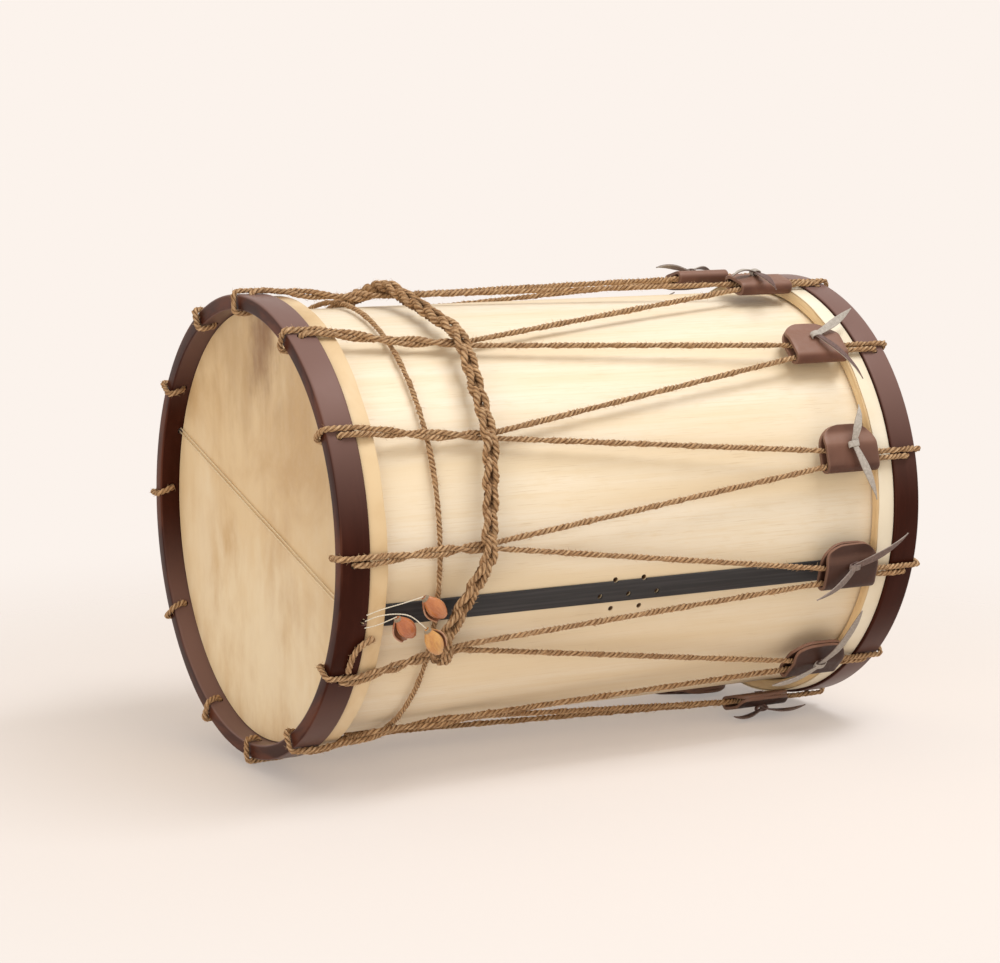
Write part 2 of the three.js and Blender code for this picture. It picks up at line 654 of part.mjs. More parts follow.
// Snare: one gut doubled across the front head, its bight in the far hole and its ends in the sloping hole
const snareX = -snareFace;
const farRadius = (hoopInner + hoopOuter) / 2;
const nearPlaces = [
  around(SNARE_EXIT_INSET - hoopEnd, SNARE_NEAR_ANGLE, hoopOuter - GUT_DIAMETER),
  around(snareX, SNARE_NEAR_ANGLE, hoopInner),
];
const farPlace = around(snareX, SNARE_FAR_ANGLE, farRadius);
const snareWay = farPlace.clone().sub(nearPlaces[1]).normalize();
const snareSide = new THREE.Vector3(1, 0, 0).cross(snareWay).multiplyScalar(SNARE_SPREAD / 2);
const farTurn = snareWay.clone().multiplyScalar(SNARE_SPREAD / 2);
const snarePoints = [
  ...nearPlaces.map((point) => point.clone().add(snareSide)),
  farPlace.clone().add(snareSide),
  farPlace.clone().add(snareSide.clone().add(farTurn).multiplyScalar(Math.SQRT1_2)),
  farPlace.clone().add(farTurn),
  farPlace.clone().add(farTurn.clone().sub(snareSide).multiplyScalar(Math.SQRT1_2)),
  farPlace.clone().sub(snareSide),
  ...nearPlaces.map((point) => point.clone().sub(snareSide)).reverse(),
];
addPiece('snare_gut', cord(snarePoints, GUT_DIAMETER, GUT_DIAMETER, SNARE_SIDES), GUT);

// Split seed shell hanging from its top: a hollow pod, open at its tip and slit up both sides
function podGeometry() {
  const outer = [];
  const inner = [];
  for (let step = 0; step <= POD_STEPS; step += 1) {
    const share = step / POD_STEPS;
    const swell = Math.sin(Math.PI * (POD_SWELL_START + POD_SWELL_SPAN * share ** POD_SWELL_POWER));
    outer.push(new THREE.Vector2((POD_WIDTH / 2) * swell, -POD_LENGTH * share));
    inner.push(new THREE.Vector2((POD_WIDTH / 2) * swell - POD_WALL, -POD_LENGTH * share));
  }
  const profile = [
    new THREE.Vector2(0, 0),
    ...outer,
    ...inner.slice(2).reverse(),
    new THREE.Vector2(0, -POD_LENGTH / POD_STEPS - POD_WALL),
  ];
  const pod = toSolid(new THREE.LatheGeometry(profile.reverse(), POD_SIDES).scale(1, 1, POD_FLATNESS));
  const split = new THREE.BoxGeometry(2 * POD_WIDTH, POD_SPLIT_LENGTH, POD_SPLIT_WIDTH);
  split.translate(0, POD_SPLIT_LENGTH / 2 - POD_LENGTH - POD_WALL, 0);
  return toGeometry(pod.subtract(toSolid(split)));
}

// Jingles: a stiff string from the snare's hole to the top of each pod
JINGLES.forEach(({ string, tip }, index) => {
  const overShell = ([reach, angle, height]) => around(reach - hoopEnd, angle, shellRadius + height);
  const knots = string.map(overShell);
  const stringPoints = new THREE.CatmullRomCurve3(knots).getSpacedPoints(STRING_STEPS);
  const stringTube = cord(stringPoints, STRING_DIAMETER, STRING_DIAMETER, STRING_SIDES);
  addPiece(`jingle_string_${index + 1}`, stringTube, STRING_WHITE);

  const top = knots.at(-1);
  const tipPoint = overShell(tip);
  const up = top.clone().sub(tipPoint).normalize();
  const outward = new THREE.Vector3(0, top.y, top.z).normalize();
  const across = up.clone().cross(outward).normalize();
  const turn = new THREE.Matrix4().makeBasis(across, up, across.clone().cross(up));
  const hang = up.clone().multiplyScalar(-STRING_DIAMETER / 2 - SEAT_GAP);
  const pod = podGeometry().applyMatrix4(turn).translate(...top.clone().add(hang).toArray());
  addPiece(`jingle_shell_${index + 1}`, pod, SEED_SHELL);
});

// The drum stands on the floor with its lowest piece
drum.updateMatrixWorld(true);
drum.position.z = -new THREE.Box3().setFromObject(drum, true).min.z;

export default drum;
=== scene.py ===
# Rope-tensioned side drum lying on its side, dressed for its looks in the frame of its CAD solids.
# Sizes are written in millimetres as on the drum, and mesh points are in metres.
import math
import random

import bmesh
import bpy
from mathutils import Matrix, Vector, kdtree, noise


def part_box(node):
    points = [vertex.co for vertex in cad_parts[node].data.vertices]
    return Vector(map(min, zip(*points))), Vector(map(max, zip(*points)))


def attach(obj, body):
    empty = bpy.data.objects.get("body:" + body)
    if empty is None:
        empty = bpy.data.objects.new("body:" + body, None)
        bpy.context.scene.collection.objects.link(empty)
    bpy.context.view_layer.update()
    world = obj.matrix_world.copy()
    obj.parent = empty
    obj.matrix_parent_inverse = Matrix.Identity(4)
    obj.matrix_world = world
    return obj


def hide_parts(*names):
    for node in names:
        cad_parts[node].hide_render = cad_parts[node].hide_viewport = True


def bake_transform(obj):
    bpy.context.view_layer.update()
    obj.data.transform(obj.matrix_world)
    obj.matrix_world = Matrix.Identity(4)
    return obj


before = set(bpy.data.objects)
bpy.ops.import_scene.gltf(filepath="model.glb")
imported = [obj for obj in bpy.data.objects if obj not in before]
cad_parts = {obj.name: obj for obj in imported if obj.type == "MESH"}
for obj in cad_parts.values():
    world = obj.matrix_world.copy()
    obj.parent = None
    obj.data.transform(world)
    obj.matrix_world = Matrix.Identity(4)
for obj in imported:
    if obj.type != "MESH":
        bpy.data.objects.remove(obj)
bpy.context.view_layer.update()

# Camera: a long lens a little above the drum's middle, at the photograph's viewing angle.
# It looks along the near side from the front head's end.
MM = 0.001
hoop_low, hoop_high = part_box("front_counterhoop")
AXIS_HEIGHT = (hoop_low.z + hoop_high.z) / 2
CAMERA_PLACE = Vector((-0.952, -1.6804, AXIS_HEIGHT + 0.2927))
CAMERA_AIM = Vector((-0.0271, 0.0, AXIS_HEIGHT + 0.0187))
CAMERA_LENS = 93.6
CAMERA_SENSOR = 36.0


def look_at(thing, place, aim):
    """Puts a camera or a lamp in its place and turns it to a point."""
    thing.location = place
    thing.rotation_euler = (aim - place).to_track_quat("-Z", "Y").to_euler()


camera = bpy.data.objects.new("camera", bpy.data.cameras.new("camera"))
bpy.context.collection.objects.link(camera)
camera.data.lens = CAMERA_LENS
camera.data.sensor_width = CAMERA_SENSOR
camera.data.sensor_fit = "HORIZONTAL"
look_at(camera, CAMERA_PLACE, CAMERA_AIM)
bpy.context.scene.camera = camera
bpy.context.scene.view_settings.view_transform = "Standard"

# Shell: one sheet of pale wood bent into a tube, with a bevelled bearing edge at each end.
# Seven small vent holes are drilled through it and its seam strip in a rosette on the near side.
SHELL_RADIUS = 152.5
SHELL_WALL = 6.0
SHELL_END = 220.5
BEARING_BEVEL = 2.5
TURNED_STEPS = 192
BIT_SIDES = 24
VENT_DIAMETER = 4.0
VENT_PITCH = 23.4
VENT_ROW = 11.2
# Each row's place across the rosette and its number of holes
VENT_ROWS = [(-1, 2), (0, 3), (1, 2)]
VENT_CENTRE = -5.0
VENT_ANGLE = 253.3
SMOOTH_ANGLE = math.radians(40)
SHELL_PALE = (0.87, 0.775, 0.625, 1)
SHELL_DEEP = (0.80, 0.655, 0.445, 1)
SHELL_PORE = (0.62, 0.46, 0.27, 1)
SHELL_PORE_STRENGTH = 0.35
SHELL_RELIEF = (0.18, 0.1)
VENT_SHADE = (0.20, 0.115, 0.055, 1)
VENT_SHADE_START = 0.3
VENT_SHADE_FULL = 1.2


def around(x, angle, radius):
    """Point on a circle round the drum's axis, its angle in degrees from the top towards +Y."""
    turn = math.radians(angle)
    return Vector((x * MM, radius * MM * math.sin(turn), radius * MM * math.cos(turn) + AXIS_HEIGHT))


def arc_angle(length, radius):
    """Angle in degrees that an arc takes at a radius."""
    return math.degrees(length / radius)


def new_piece(name, points, faces):
    """New mesh object whose faces look outward."""
    mesh = bpy.data.meshes.new(name)
    mesh.from_pydata(points, [], faces)
    shape = bmesh.new()
    shape.from_mesh(mesh)
    bmesh.ops.recalc_face_normals(shape, faces=shape.faces)
    shape.to_mesh(mesh)
    shape.free()
    piece = bpy.data.objects.new(name, mesh)
    bpy.context.collection.objects.link(piece)
    return piece


def dress(piece, material, body=None, stands_for=()):
    """Gives a piece its finish, smooth faces and body, and the CAD nodes that it stands for."""
    piece.data.materials.append(material)
    piece.data.shade_smooth()
    piece.data.set_sharp_from_angle(angle=SMOOTH_ANGLE)
    if stands_for:
        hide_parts(*stands_for)
    if body:
        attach(piece, body)


def turned(name, profile):
    """Closed profile of (x, radius) points turned about the drum's axis; radius 0 closes on the axis."""
    points = []
    rows = []
    for x, radius in profile:
        if radius == 0:
            rows.append([len(points)] * TURNED_STEPS)
            points.append(around(x, 0, 0))
        else:
            rows.append(list(range(len(points), len(points) + TURNED_STEPS)))
            points.extend(around(x, 360 * step / TURNED_STEPS, radius) for step in range(TURNED_STEPS))
    faces = []
    for here, there in zip(rows, rows[1:] + rows[:1]):
        for step in range(TURNED_STEPS):
            after = (step + 1) % TURNED_STEPS
            corners = [here[step], here[after], there[after], there[step]]
            face = list(dict.fromkeys(corners))
            if len(face) > 2:
                faces.append(face)
    return new_piece(name, points, faces)


def drill_bit(start, end, diameter):
    """Points and faces of a round bit between two points in metres."""
    way = (end - start).normalized()
    side = way.orthogonal().normalized()
    up = way.cross(side)
    points = []
    for place in (start, end):
        for step in range(BIT_SIDES):
            turn = 2 * math.pi * step / BIT_SIDES
            points.append(place + (side * math.cos(turn) + up * math.sin(turn)) * (diameter * MM / 2))
    faces = []
    for step in range(BIT_SIDES):
        after = (step + 1) % BIT_SIDES
        faces.append([step, after, BIT_SIDES + after, BIT_SIDES + step])
    return points, faces + [list(range(BIT_SIDES)), list(range(BIT_SIDES, 2 * BIT_SIDES))]


def radial_bit(x, angle, low, high, diameter):
    """Bit that points at the drum's axis, between two radii."""
    return drill_bit(around(x, angle, low), around(x, angle, high), diameter)


def cut(piece, bits):
    """Cuts a list of bits out of a piece."""
    points = []
    faces = []
    for bit_points, bit_faces in bits:
        faces.extend([corner + len(points) for corner in face] for face in bit_faces)
        points.extend(bit_points)
    cutter = new_piece("cutter", points, faces)
    holes = piece.modifiers.new("holes", "BOOLEAN")
    holes.object = cutter
    holes.operation = "DIFFERENCE"
    holes.solver = "EXACT"
    solved = piece.evaluated_get(bpy.context.evaluated_depsgraph_get())
    piece.data = bpy.data.meshes.new_from_object(solved)
    piece.modifiers.clear()
    bpy.data.objects.remove(cutter)


def set_inputs(tree, node, inputs):
    """Sets a node's inputs, and links those that are given a socket."""
    for socket, value in inputs.items():
        if isinstance(value, bpy.types.NodeSocket):
            tree.links.new(value, node.inputs[socket])
        else:
            node.inputs[socket].default_value = value


def add_node(tree, kind, inputs, **settings):
    """Shader node with its settings made and its inputs set or linked."""
    made = tree.nodes.new(kind)
    for name, value in settings.items():
        setattr(made, name, value)
    set_inputs(tree, made, inputs)
    return made


# A mix node's colour sockets by number, because its other kinds of socket have the same names
MIX_SHARE = 0
MIX_FIRST = 6
MIX_SECOND = 7
MIX_RESULT = 2


def mixed(tree, share, first, second):
    """Colour mixed from two colours by a share."""
    inputs = {MIX_SHARE: share, MIX_FIRST: first, MIX_SECOND: second}
    return add_node(tree, "ShaderNodeMix", inputs, data_type="RGBA").outputs[MIX_RESULT]


def between(tree, value, low, high, new_low=0.0, new_high=1.0):
    """Value eased from one range to another."""
    inputs = {"Value": value, "From Min": low, "From Max": high, "To Min": new_low, "To Max": new_high}
    return add_node(tree, "ShaderNodeMapRange", inputs, interpolation_type="SMOOTHSTEP").outputs["Result"]


def laid_over(tree, colour, tint, marks, start, full, strength=1.0):
    """Colour with a tint laid over it from where some marks start to where they are full."""
    return mixed(tree, between(tree, marks, start, full, 0.0, strength), colour, tint)


def combined(tree, operation, first, second):
    """Two values or sockets put together by a math operation."""
    return add_node(tree, "ShaderNodeMath", {0: first, 1: second}, operation=operation).outputs[0]


def stretched_noise(tree, place, stretch, detail, rough=0.55):
    """Noise over a place whose axes are scaled one by one."""
    spread = add_node(tree, "ShaderNodeVectorMath", {0: place, 1: stretch}, operation="MULTIPLY")
    inputs = {"Vector": spread.outputs[0], "Scale": 1.0, "Detail": detail, "Roughness": rough}
    return add_node(tree, "ShaderNodeTexNoise", inputs).outputs["Fac"]


def new_group(name, inputs, outputs):
    """Empty node group with named sockets, the outputs of its start node, and its end node."""
    group = bpy.data.node_groups.new(name, "ShaderNodeTree")
    for socket, kind in inputs:
        group.interface.new_socket(name=socket, in_out="INPUT", socket_type=kind)
    for socket, kind in outputs:
        group.interface.new_socket(name=socket, in_out="OUTPUT", socket_type=kind)
    return group, group.nodes.new("NodeGroupInput").outputs, group.nodes.new("NodeGroupOutput")


def use_group(tree, group, inputs):
    """Outputs of a group placed in a material with its own values."""
    return add_node(tree, "ShaderNodeGroup", inputs, node_tree=group).outputs


def new_material(name):
    """Material with its node tree and shader."""
    material = bpy.data.materials.new(name)
    material.use_nodes = True
    return material, material.node_tree, material.node_tree.nodes["Principled BSDF"]


def object_place(tree):
    """Place on the piece in metres."""
    return tree.nodes.new("ShaderNodeTexCoord").outputs["Object"]


def raise_surface(tree, shader, height, strength, depth):
    """Relief from a height, with its strength and its depth in millimetres."""
    inputs = {"Height": height, "Strength": strength, "Distance": depth * MM}
    set_inputs(tree, shader, {"Normal": add_node(tree, "ShaderNodeBump", inputs).outputs["Normal"]})


# Grain of a sawn sheet: broad bands, fine fibres, ripples and short dark pores, all along the place's X.
# Each noise has its stretch, detail and roughness, and each mark its start, its full value and its strength.
FLOAT = "NodeSocketFloat"
COLOUR = "NodeSocketColor"
VECTOR = "NodeSocketVector"
GRAIN_BANDS = ((1.6, 26.0, 26.0), 4.0)
GRAIN_FIBRES = ((14.0, 620.0, 620.0), 3.0)
GRAIN_RIPPLES = ((60.0, 210.0, 210.0), 4.0, 0.62)
GRAIN_PORES = ((38.0, 1500.0, 1500.0), 2.0)
BAND_MARKS = (0.36, 0.66)
FIBRE_MARKS = (0.45, 0.75, 0.5)
RIPPLE_MARKS = (0.5, 0.72, 0.4)
PORE_MARKS = (0.6, 0.72)
GRAIN_ROUGHNESS = (0.2, 0.8, 0.42, 0.6)

wood_grain, grain_in, grain_out = new_group(
    "wood grain",
    [("Place", VECTOR), ("Pale", COLOUR), ("Deep", COLOUR), ("Pore", COLOUR), ("Pore Strength", FLOAT)],
    [("Color", COLOUR), ("Height", FLOAT), ("Roughness", FLOAT)],
)
grain_deep = grain_in["Deep"]
bands = stretched_noise(wood_grain, grain_in["Place"], *GRAIN_BANDS)
fibres = stretched_noise(wood_grain, grain_in["Place"], *GRAIN_FIBRES)
ripples = stretched_noise(wood_grain, grain_in["Place"], *GRAIN_RIPPLES)
pores = between(wood_grain, stretched_noise(wood_grain, grain_in["Place"], *GRAIN_PORES), *PORE_MARKS)
grain_colour = laid_over(wood_grain, grain_in["Pale"], grain_deep, bands, *BAND_MARKS)
grain_colour = laid_over(wood_grain, grain_colour, grain_deep, fibres, *FIBRE_MARKS)
grain_colour = laid_over(wood_grain, grain_colour, grain_deep, ripples, *RIPPLE_MARKS)
pore_share = combined(wood_grain, "MULTIPLY", pores, grain_in["Pore Strength"])
set_inputs(wood_grain, grain_out, {
    "Color": mixed(wood_grain, pore_share, grain_colour, grain_in["Pore"]),
    "Height": combined(wood_grain, "SUBTRACT", fibres, pores),
    "Roughness": between(wood_grain, fibres, *GRAIN_ROUGHNESS),
})

# Place unrolled from the drum: round it, along it and out from its axis
round_drum, round_in, round_out = new_group(
    "round the drum",
    [("Place", VECTOR), ("Axis Height", FLOAT)],
    [("Round", VECTOR), ("Along", FLOAT), ("Radius", FLOAT)],
)
round_parts = add_node(round_drum, "ShaderNodeSeparateXYZ", {"Vector": round_in["Place"]}).outputs
round_up = combined(round_drum, "SUBTRACT", round_parts["Z"], round_in["Axis Height"])
round_turn = combined(round_drum, "ARCTAN2", round_parts["Y"], round_up)
across_square = combined(round_drum, "MULTIPLY", round_parts["Y"], round_parts["Y"])
up_square = combined(round_drum, "MULTIPLY", round_up, round_up)
round_radius = combined(round_drum, "SQRT", combined(round_drum, "ADD", across_square, up_square), 0.0)
round_arc = combined(round_drum, "MULTIPLY", round_turn, round_radius)
round_vector = add_node(round_drum, "ShaderNodeCombineXYZ",
                        {"X": round_arc, "Y": round_parts["X"], "Z": round_radius}).outputs[0]
set_inputs(round_drum, round_out, {"Round": round_vector, "Along": round_parts["X"], "Radius": round_radius})


def unrolled(tree):
    """Place on a piece, unrolled from this drum."""
    return use_group(tree, round_drum, {"Place": object_place(tree), "Axis Height": AXIS_HEIGHT})


shell_wood, shell_tree, shell_shader = new_material("shell wood")
shell_grain = use_group(shell_tree, wood_grain, {
    "Place": object_place(shell_tree),
    "Pale": SHELL_PALE,
    "Deep": SHELL_DEEP,
    "Pore": SHELL_PORE,
    "Pore Strength": SHELL_PORE_STRENGTH,
})
# Inside the bore and the vent holes the wood is darker: partly the raw inner wood, partly painted shade.
shell_colour = laid_over(shell_tree, shell_grain["Color"], VENT_SHADE, unrolled(shell_tree)["Radius"],
                         (SHELL_RADIUS - VENT_SHADE_START) * MM, (SHELL_RADIUS - VENT_SHADE_FULL) * MM)
set_inputs(shell_tree, shell_shader, {"Base Color": shell_colour, "Roughness": shell_grain["Roughness"]})
raise_surface(shell_tree, shell_shader, shell_grain["Height"], *SHELL_RELIEF)

vent_bits = []
for row, holes in VENT_ROWS:
    for hole in range(holes):
        vent_x = VENT_CENTRE + (hole - (holes - 1) / 2) * VENT_PITCH
        vent_angle = VENT_ANGLE + arc_angle(row * VENT_ROW, SHELL_RADIUS)
        vent_bits.append(radial_bit(vent_x, vent_angle, SHELL_RADIUS - 2 * SHELL_WALL,
                                    SHELL_RADIUS + 2 * SHELL_WALL, VENT_DIAMETER))

shell_bore = SHELL_RADIUS - SHELL_WALL
shell = turned("bent_shell", [
    (BEARING_BEVEL - SHELL_END, shell_bore),
    (-SHELL_END, shell_bore + BEARING_BEVEL),
    (-SHELL_END, SHELL_RADIUS),
    (SHELL_END, SHELL_RADIUS),
    (SHELL_END, shell_bore + BEARING_BEVEL),
    (SHELL_END - BEARING_BEVEL, shell_bore),
])
cut(shell, vent_bits)
dress(shell, shell_wood, "drum", ["shell"])

# Seam strip: a thin strip of dark-stained veneer glued over the shell's seam from hoop to hoop.
# The vents go through it, and its long edges are slightly eased.
STRIP_INNER = 152.8
STRIP_OUTER = 154.0
STRIP_WIDTH = 16.2
STRIP_ANGLE = 254.3
STRIP_END = 200.5
STRIP_STEPS = 16
STRIP_EASE = 0.5
STRIP_DARK = (0.012, 0.011, 0.012, 1)
STRIP_GREY = (0.034, 0.031, 0.033, 1)
STRIP_RUBBED = (0.06, 0.05, 0.047, 1)
STRIP_FIBRES = ((10.0, 520.0, 520.0), 4.0)
STRIP_WEAR = ((16.0, 70.0, 70.0), 5.0)
STRIP_FIBRE_MARKS = (0.35, 0.75)
STRIP_WEAR_MARKS = (0.55, 0.8, 0.5)
STRIP_ROUGHNESS = (0.5, 0.66)
STRIP_RELIEF = (0.25, 0.12)
ROUGH_FROM = 0.3
ROUGH_TO = 0.7


def roughened(tree, marks, least, most):
    """Roughness that follows some marks."""
    return between(tree, marks, ROUGH_FROM, ROUGH_TO, least, most)


strip_stain, strip_tree, strip_shader = new_material("strip stain")
strip_place = object_place(strip_tree)
strip_fibres = stretched_noise(strip_tree, strip_place, *STRIP_FIBRES)
strip_wear = stretched_noise(strip_tree, strip_place, *STRIP_WEAR)
strip_colour = laid_over(strip_tree, STRIP_DARK, STRIP_GREY, strip_fibres, *STRIP_FIBRE_MARKS)
set_inputs(strip_tree, strip_shader, {
    "Base Color": laid_over(strip_tree, strip_colour, STRIP_RUBBED, strip_wear, *STRIP_WEAR_MARKS),
    "Roughness": roughened(strip_tree, strip_wear, *STRIP_ROUGHNESS),
})
raise_surface(strip_tree, strip_shader, strip_fibres, *STRIP_RELIEF)

strip_half = arc_angle(STRIP_WIDTH / 2, STRIP_OUTER)
strip_flat = strip_half - arc_angle(STRIP_EASE, STRIP_OUTER)
strip_low = STRIP_ANGLE - strip_half
strip_high = STRIP_ANGLE + strip_half
strip_shares = [2 * step / STRIP_STEPS - 1 for step in range(STRIP_STEPS + 1)]
strip_section = [(strip_low, STRIP_INNER), (strip_low, STRIP_OUTER - STRIP_EASE)]
strip_section += [(STRIP_ANGLE + share * strip_flat, STRIP_OUTER) for share in strip_shares]
strip_section += [(strip_high, STRIP_OUTER - STRIP_EASE), (strip_high, STRIP_INNER)]
strip_section += [(STRIP_ANGLE + share * strip_half, STRIP_INNER) for share in strip_shares[-2:0:-1]]


def swept_skin(rings, closed=False):
    """Points and faces of a skin over a row of like rings, capped at both ends unless it closes."""
    count = len(rings[0])
    points = [point for ring in rings for point in ring]
    faces = []
    spans = len(rings) if closed else len(rings) - 1
    for index in range(spans):
        here = index * count
        there = ((index + 1) % len(rings)) * count
        for corner in range(count):
            after = (corner + 1) % count
            faces.append([here + corner, here + after, there + after, there + corner])
    if not closed:
        faces.append(list(range(count)))
        faces.append(list(range((len(rings) - 1) * count, len(rings) * count)))
    return points, faces


def swept(name, rings):
    """Piece with a skin over a row of rings."""
    return new_piece(name, *swept_skin(rings))


strip = swept("veneer_strip", [
    [around(x, angle, radius) for angle, radius in strip_section] for x in (-STRIP_END, STRIP_END)
])
cut(strip, vent_bits)
dress(strip, strip_stain, "drum", ["seam_strip"])

# Glue rings: two bent wooden hoops glued inside the shell's ends to keep it round.
# They keep their CAD shape and take the grain of bent wood, which runs round the drum.
GLUE_RING_PALE = (0.80, 0.66, 0.44, 1)
GLUE_RING_DEEP = (0.62, 0.45, 0.25, 1)
GLUE_RING_PORE = (0.42, 0.27, 0.13, 1)
BENT_PORE_STRENGTH = 0.6
BENT_RELIEF = (0.3, 0.15)


def bent_wood(name, pale, deep, pore):
    """Wood whose grain runs round the drum."""
    material, tree, shader = new_material(name)
    grain = use_group(tree, wood_grain, {
        "Place": unrolled(tree)["Round"],
        "Pale": pale,
        "Deep": deep,
        "Pore": pore,
        "Pore Strength": BENT_PORE_STRENGTH,
    })
    set_inputs(tree, shader, {"Base Color": grain["Color"], "Roughness": grain["Roughness"]})
    raise_surface(tree, shader, grain["Height"], *BENT_RELIEF)
    return material


glue_ring_wood = bent_wood("glue ring wood", GLUE_RING_PALE, GLUE_RING_DEEP, GLUE_RING_PORE)
ends = {"front": -1, "rear": 1}
for end in ends:
    glue_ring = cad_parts[f"{end}_glue_ring"]
    glue_ring.data.materials.clear()
    glue_ring.data.materials.append(glue_ring_wood)

# Flesh hoops: tan bent-wood rings that each skin is tucked round before it is pulled down the shell.
# Only the edge that looks back along the shell shows.
FLESH_INNER = 153.7
FLESH_OUTER = 161.7
FLESH_BACK = 200.8
FLESH_FACE = 213.2
FLESH_EASE = 1.6
EASE_STEPS = 4
FLESH_HOOP_PALE = (0.80, 0.62, 0.37, 1)
FLESH_HOOP_DEEP = (0.66, 0.45, 0.23, 1)
FLESH_HOOP_PORE = (0.40, 0.24, 0.10, 1)


def rounded(corners, size, steps=EASE_STEPS):
    """Outline of (x, radius) corners with each corner eased by a short curve."""
    outline = []
    for index, corner in enumerate(corners):
        here = Vector(corner)
        before = Vector(corners[index - 1]) - here
        after = Vector(corners[(index + 1) % len(corners)]) - here
        start = here + before.normalized() * min(size, before.length / 2)
        end = here + after.normalized() * min(size, after.length / 2)
        for step in range(steps + 1):
            share = step / steps
            outline.append(tuple(start.lerp(here, share).lerp(here.lerp(end, share), share)))
    return outline


def turned_hoop(name, start, end, inner, outer, ease):
    """Hoop of an oblong section with eased edges, from one place along the drum to another."""
    return turned(name, rounded([(start, inner), (start, outer), (end, outer), (end, inner)], ease))


flesh_hoop_wood = bent_wood("flesh hoop wood", FLESH_HOOP_PALE, FLESH_HOOP_DEEP, FLESH_HOOP_PORE)
for end, side in ends.items():
    flesh_hoop = turned_hoop(f"{end}_bent_flesh_hoop", side * FLESH_BACK, side * FLESH_FACE,
                             FLESH_INNER, FLESH_OUTER, FLESH_EASE)
    dress(flesh_hoop, flesh_hoop_wood, "drum", [f"{end}_flesh_hoop"])

# Heads: calfskin soaked, tucked round the flesh hoop and dried tight over the shell's end.
# The lap round the flesh hoop is trimmed by hand, so its edge wanders a little.
HEAD_FACE = 221.6
SKIN = 0.8
SKIN_INNER = 152.8
SKIN_EASE = 0.5
SKIN_EASE_STEPS = 3
LAP_FACE = 214.3
LAP_INNER = 162.0
LAP_TRIM = 3.0
LAP_WANDER = 0.55
# Size, number round the head and start of each wave of the trimmed edge
LAP_WAVES = [(0.6, 5, 1), (0.4, 13, 0), (0.3, 29, 2)]
SKIN_MARK_SCALE = 11.0
SKIN_STREAKS = ((8.0, 34.0, 4.5), 4.0)
SKIN_SCRAPES = ((20.0, 210.0, 9.0), 3.0)
SKIN_PATCH_MARKS = (0.38, 0.66)
SKIN_STREAK_MARKS = (0.48, 0.74, 0.6)
SKIN_FLECK_MARKS = (0.52, 0.78, 0.4)
SKIN_SCRAPE_MARKS = (0.62, 0.74, 0.35)
SKIN_ROUGHNESS = (0.42, 0.58)
SKIN_SHINE = 0.35
SKIN_RELIEF = (0.2, 0.25)
SPOT_RIM = ((60.0, 60.0, 26.0), 4.0)
SPOT_RIM_BREAK = 1.8
SPOT_REACH = 1.3

# Pale and deep colour of each skin, and its soft spots: angle and radius on the head,
# extent along X, Y and Z, colour and strength
SKINS = {
    # On the front head the pale spot low down makes it paler towards the bottom, partly its own tone and
    # partly painted light; the two darker spots at the top, by the hoop, are stains with painted shade of the
    # hoop in them.
    "front": ((0.74, 0.565, 0.345, 1), (0.59, 0.40, 0.205, 1), [
        (180, 95, (60, 130, 85), (0.84, 0.72, 0.52, 1), 0.75),
        (108, 112, (60, 48, 95), (0.82, 0.69, 0.50, 1), 0.6),
        (10, 120, (40, 95, 52), (0.47, 0.31, 0.155, 1), 0.7),
        (357, 137, (44, 27, 50), (0.26, 0.135, 0.06, 1), 0.95),
    ]),
    "rear": ((0.88, 0.82, 0.69, 1), (0.80, 0.70, 0.53, 1), [
        (60, 70, (60, 80, 60), (0.58, 0.42, 0.24, 1), 0.5),
    ]),
}

# Marks of a hide: broad clouds, fine flecks and the cells of its grain
HIDE_CLOUD_NOISE = {"Scale": 1.0, "Detail": 5.0, "Roughness": 0.55, "Distortion": 0.5}
HIDE_FLECK_NOISE = {"Scale": 9.0, "Detail": 6.0, "Roughness": 0.65}
HIDE_CELL_SCALE = 90.0
hide_mottle, hide_in, hide_out = new_group(
    "hide mottle",
    [("Place", VECTOR), ("Scale", FLOAT)],
    [("Broad", FLOAT), ("Fine", FLOAT), ("Grain", FLOAT)],
)
hide_place = add_node(hide_mottle, "ShaderNodeVectorMath", {0: hide_in["Place"], "Scale": hide_in["Scale"]},
                      operation="SCALE").outputs[0]
hide_broad = add_node(hide_mottle, "ShaderNodeTexNoise", {"Vector": hide_place, **HIDE_CLOUD_NOISE})
hide_fine = add_node(hide_mottle, "ShaderNodeTexNoise", {"Vector": hide_place, **HIDE_FLECK_NOISE})
hide_cells = add_node(hide_mottle, "ShaderNodeTexVoronoi", {"Vector": hide_place, "Scale": HIDE_CELL_SCALE})
set_inputs(hide_mottle, hide_out, {
    "Broad": hide_broad.outputs["Fac"],
    "Fine": hide_fine.outputs["Fac"],
    "Grain": hide_cells.outputs["Distance"],
})


def spotted(tree, place, colour, centre, extents, spot_colour, strength):
    """Colour with a soft spot round a point, its rim broken up, used for stains and for painted light and
    shade.
    """
    shrink = tuple(1 / (extent * MM) for extent in extents)
    away = add_node(tree, "ShaderNodeVectorMath", {0: place, 1: centre}, operation="SUBTRACT").outputs[0]
    shrunk = add_node(tree, "ShaderNodeVectorMath", {0: away, 1: shrink}, operation="MULTIPLY").outputs[0]
    far = add_node(tree, "ShaderNodeVectorMath", {0: shrunk}, operation="LENGTH").outputs["Value"]
    broken = combined(tree, "SUBTRACT", stretched_noise(tree, place, *SPOT_RIM), 0.5)
    rim = combined(tree, "ADD", far, combined(tree, "MULTIPLY", broken, SPOT_RIM_BREAK))
    return laid_over(tree, colour, spot_colour, rim, SPOT_REACH, 0.0, strength)


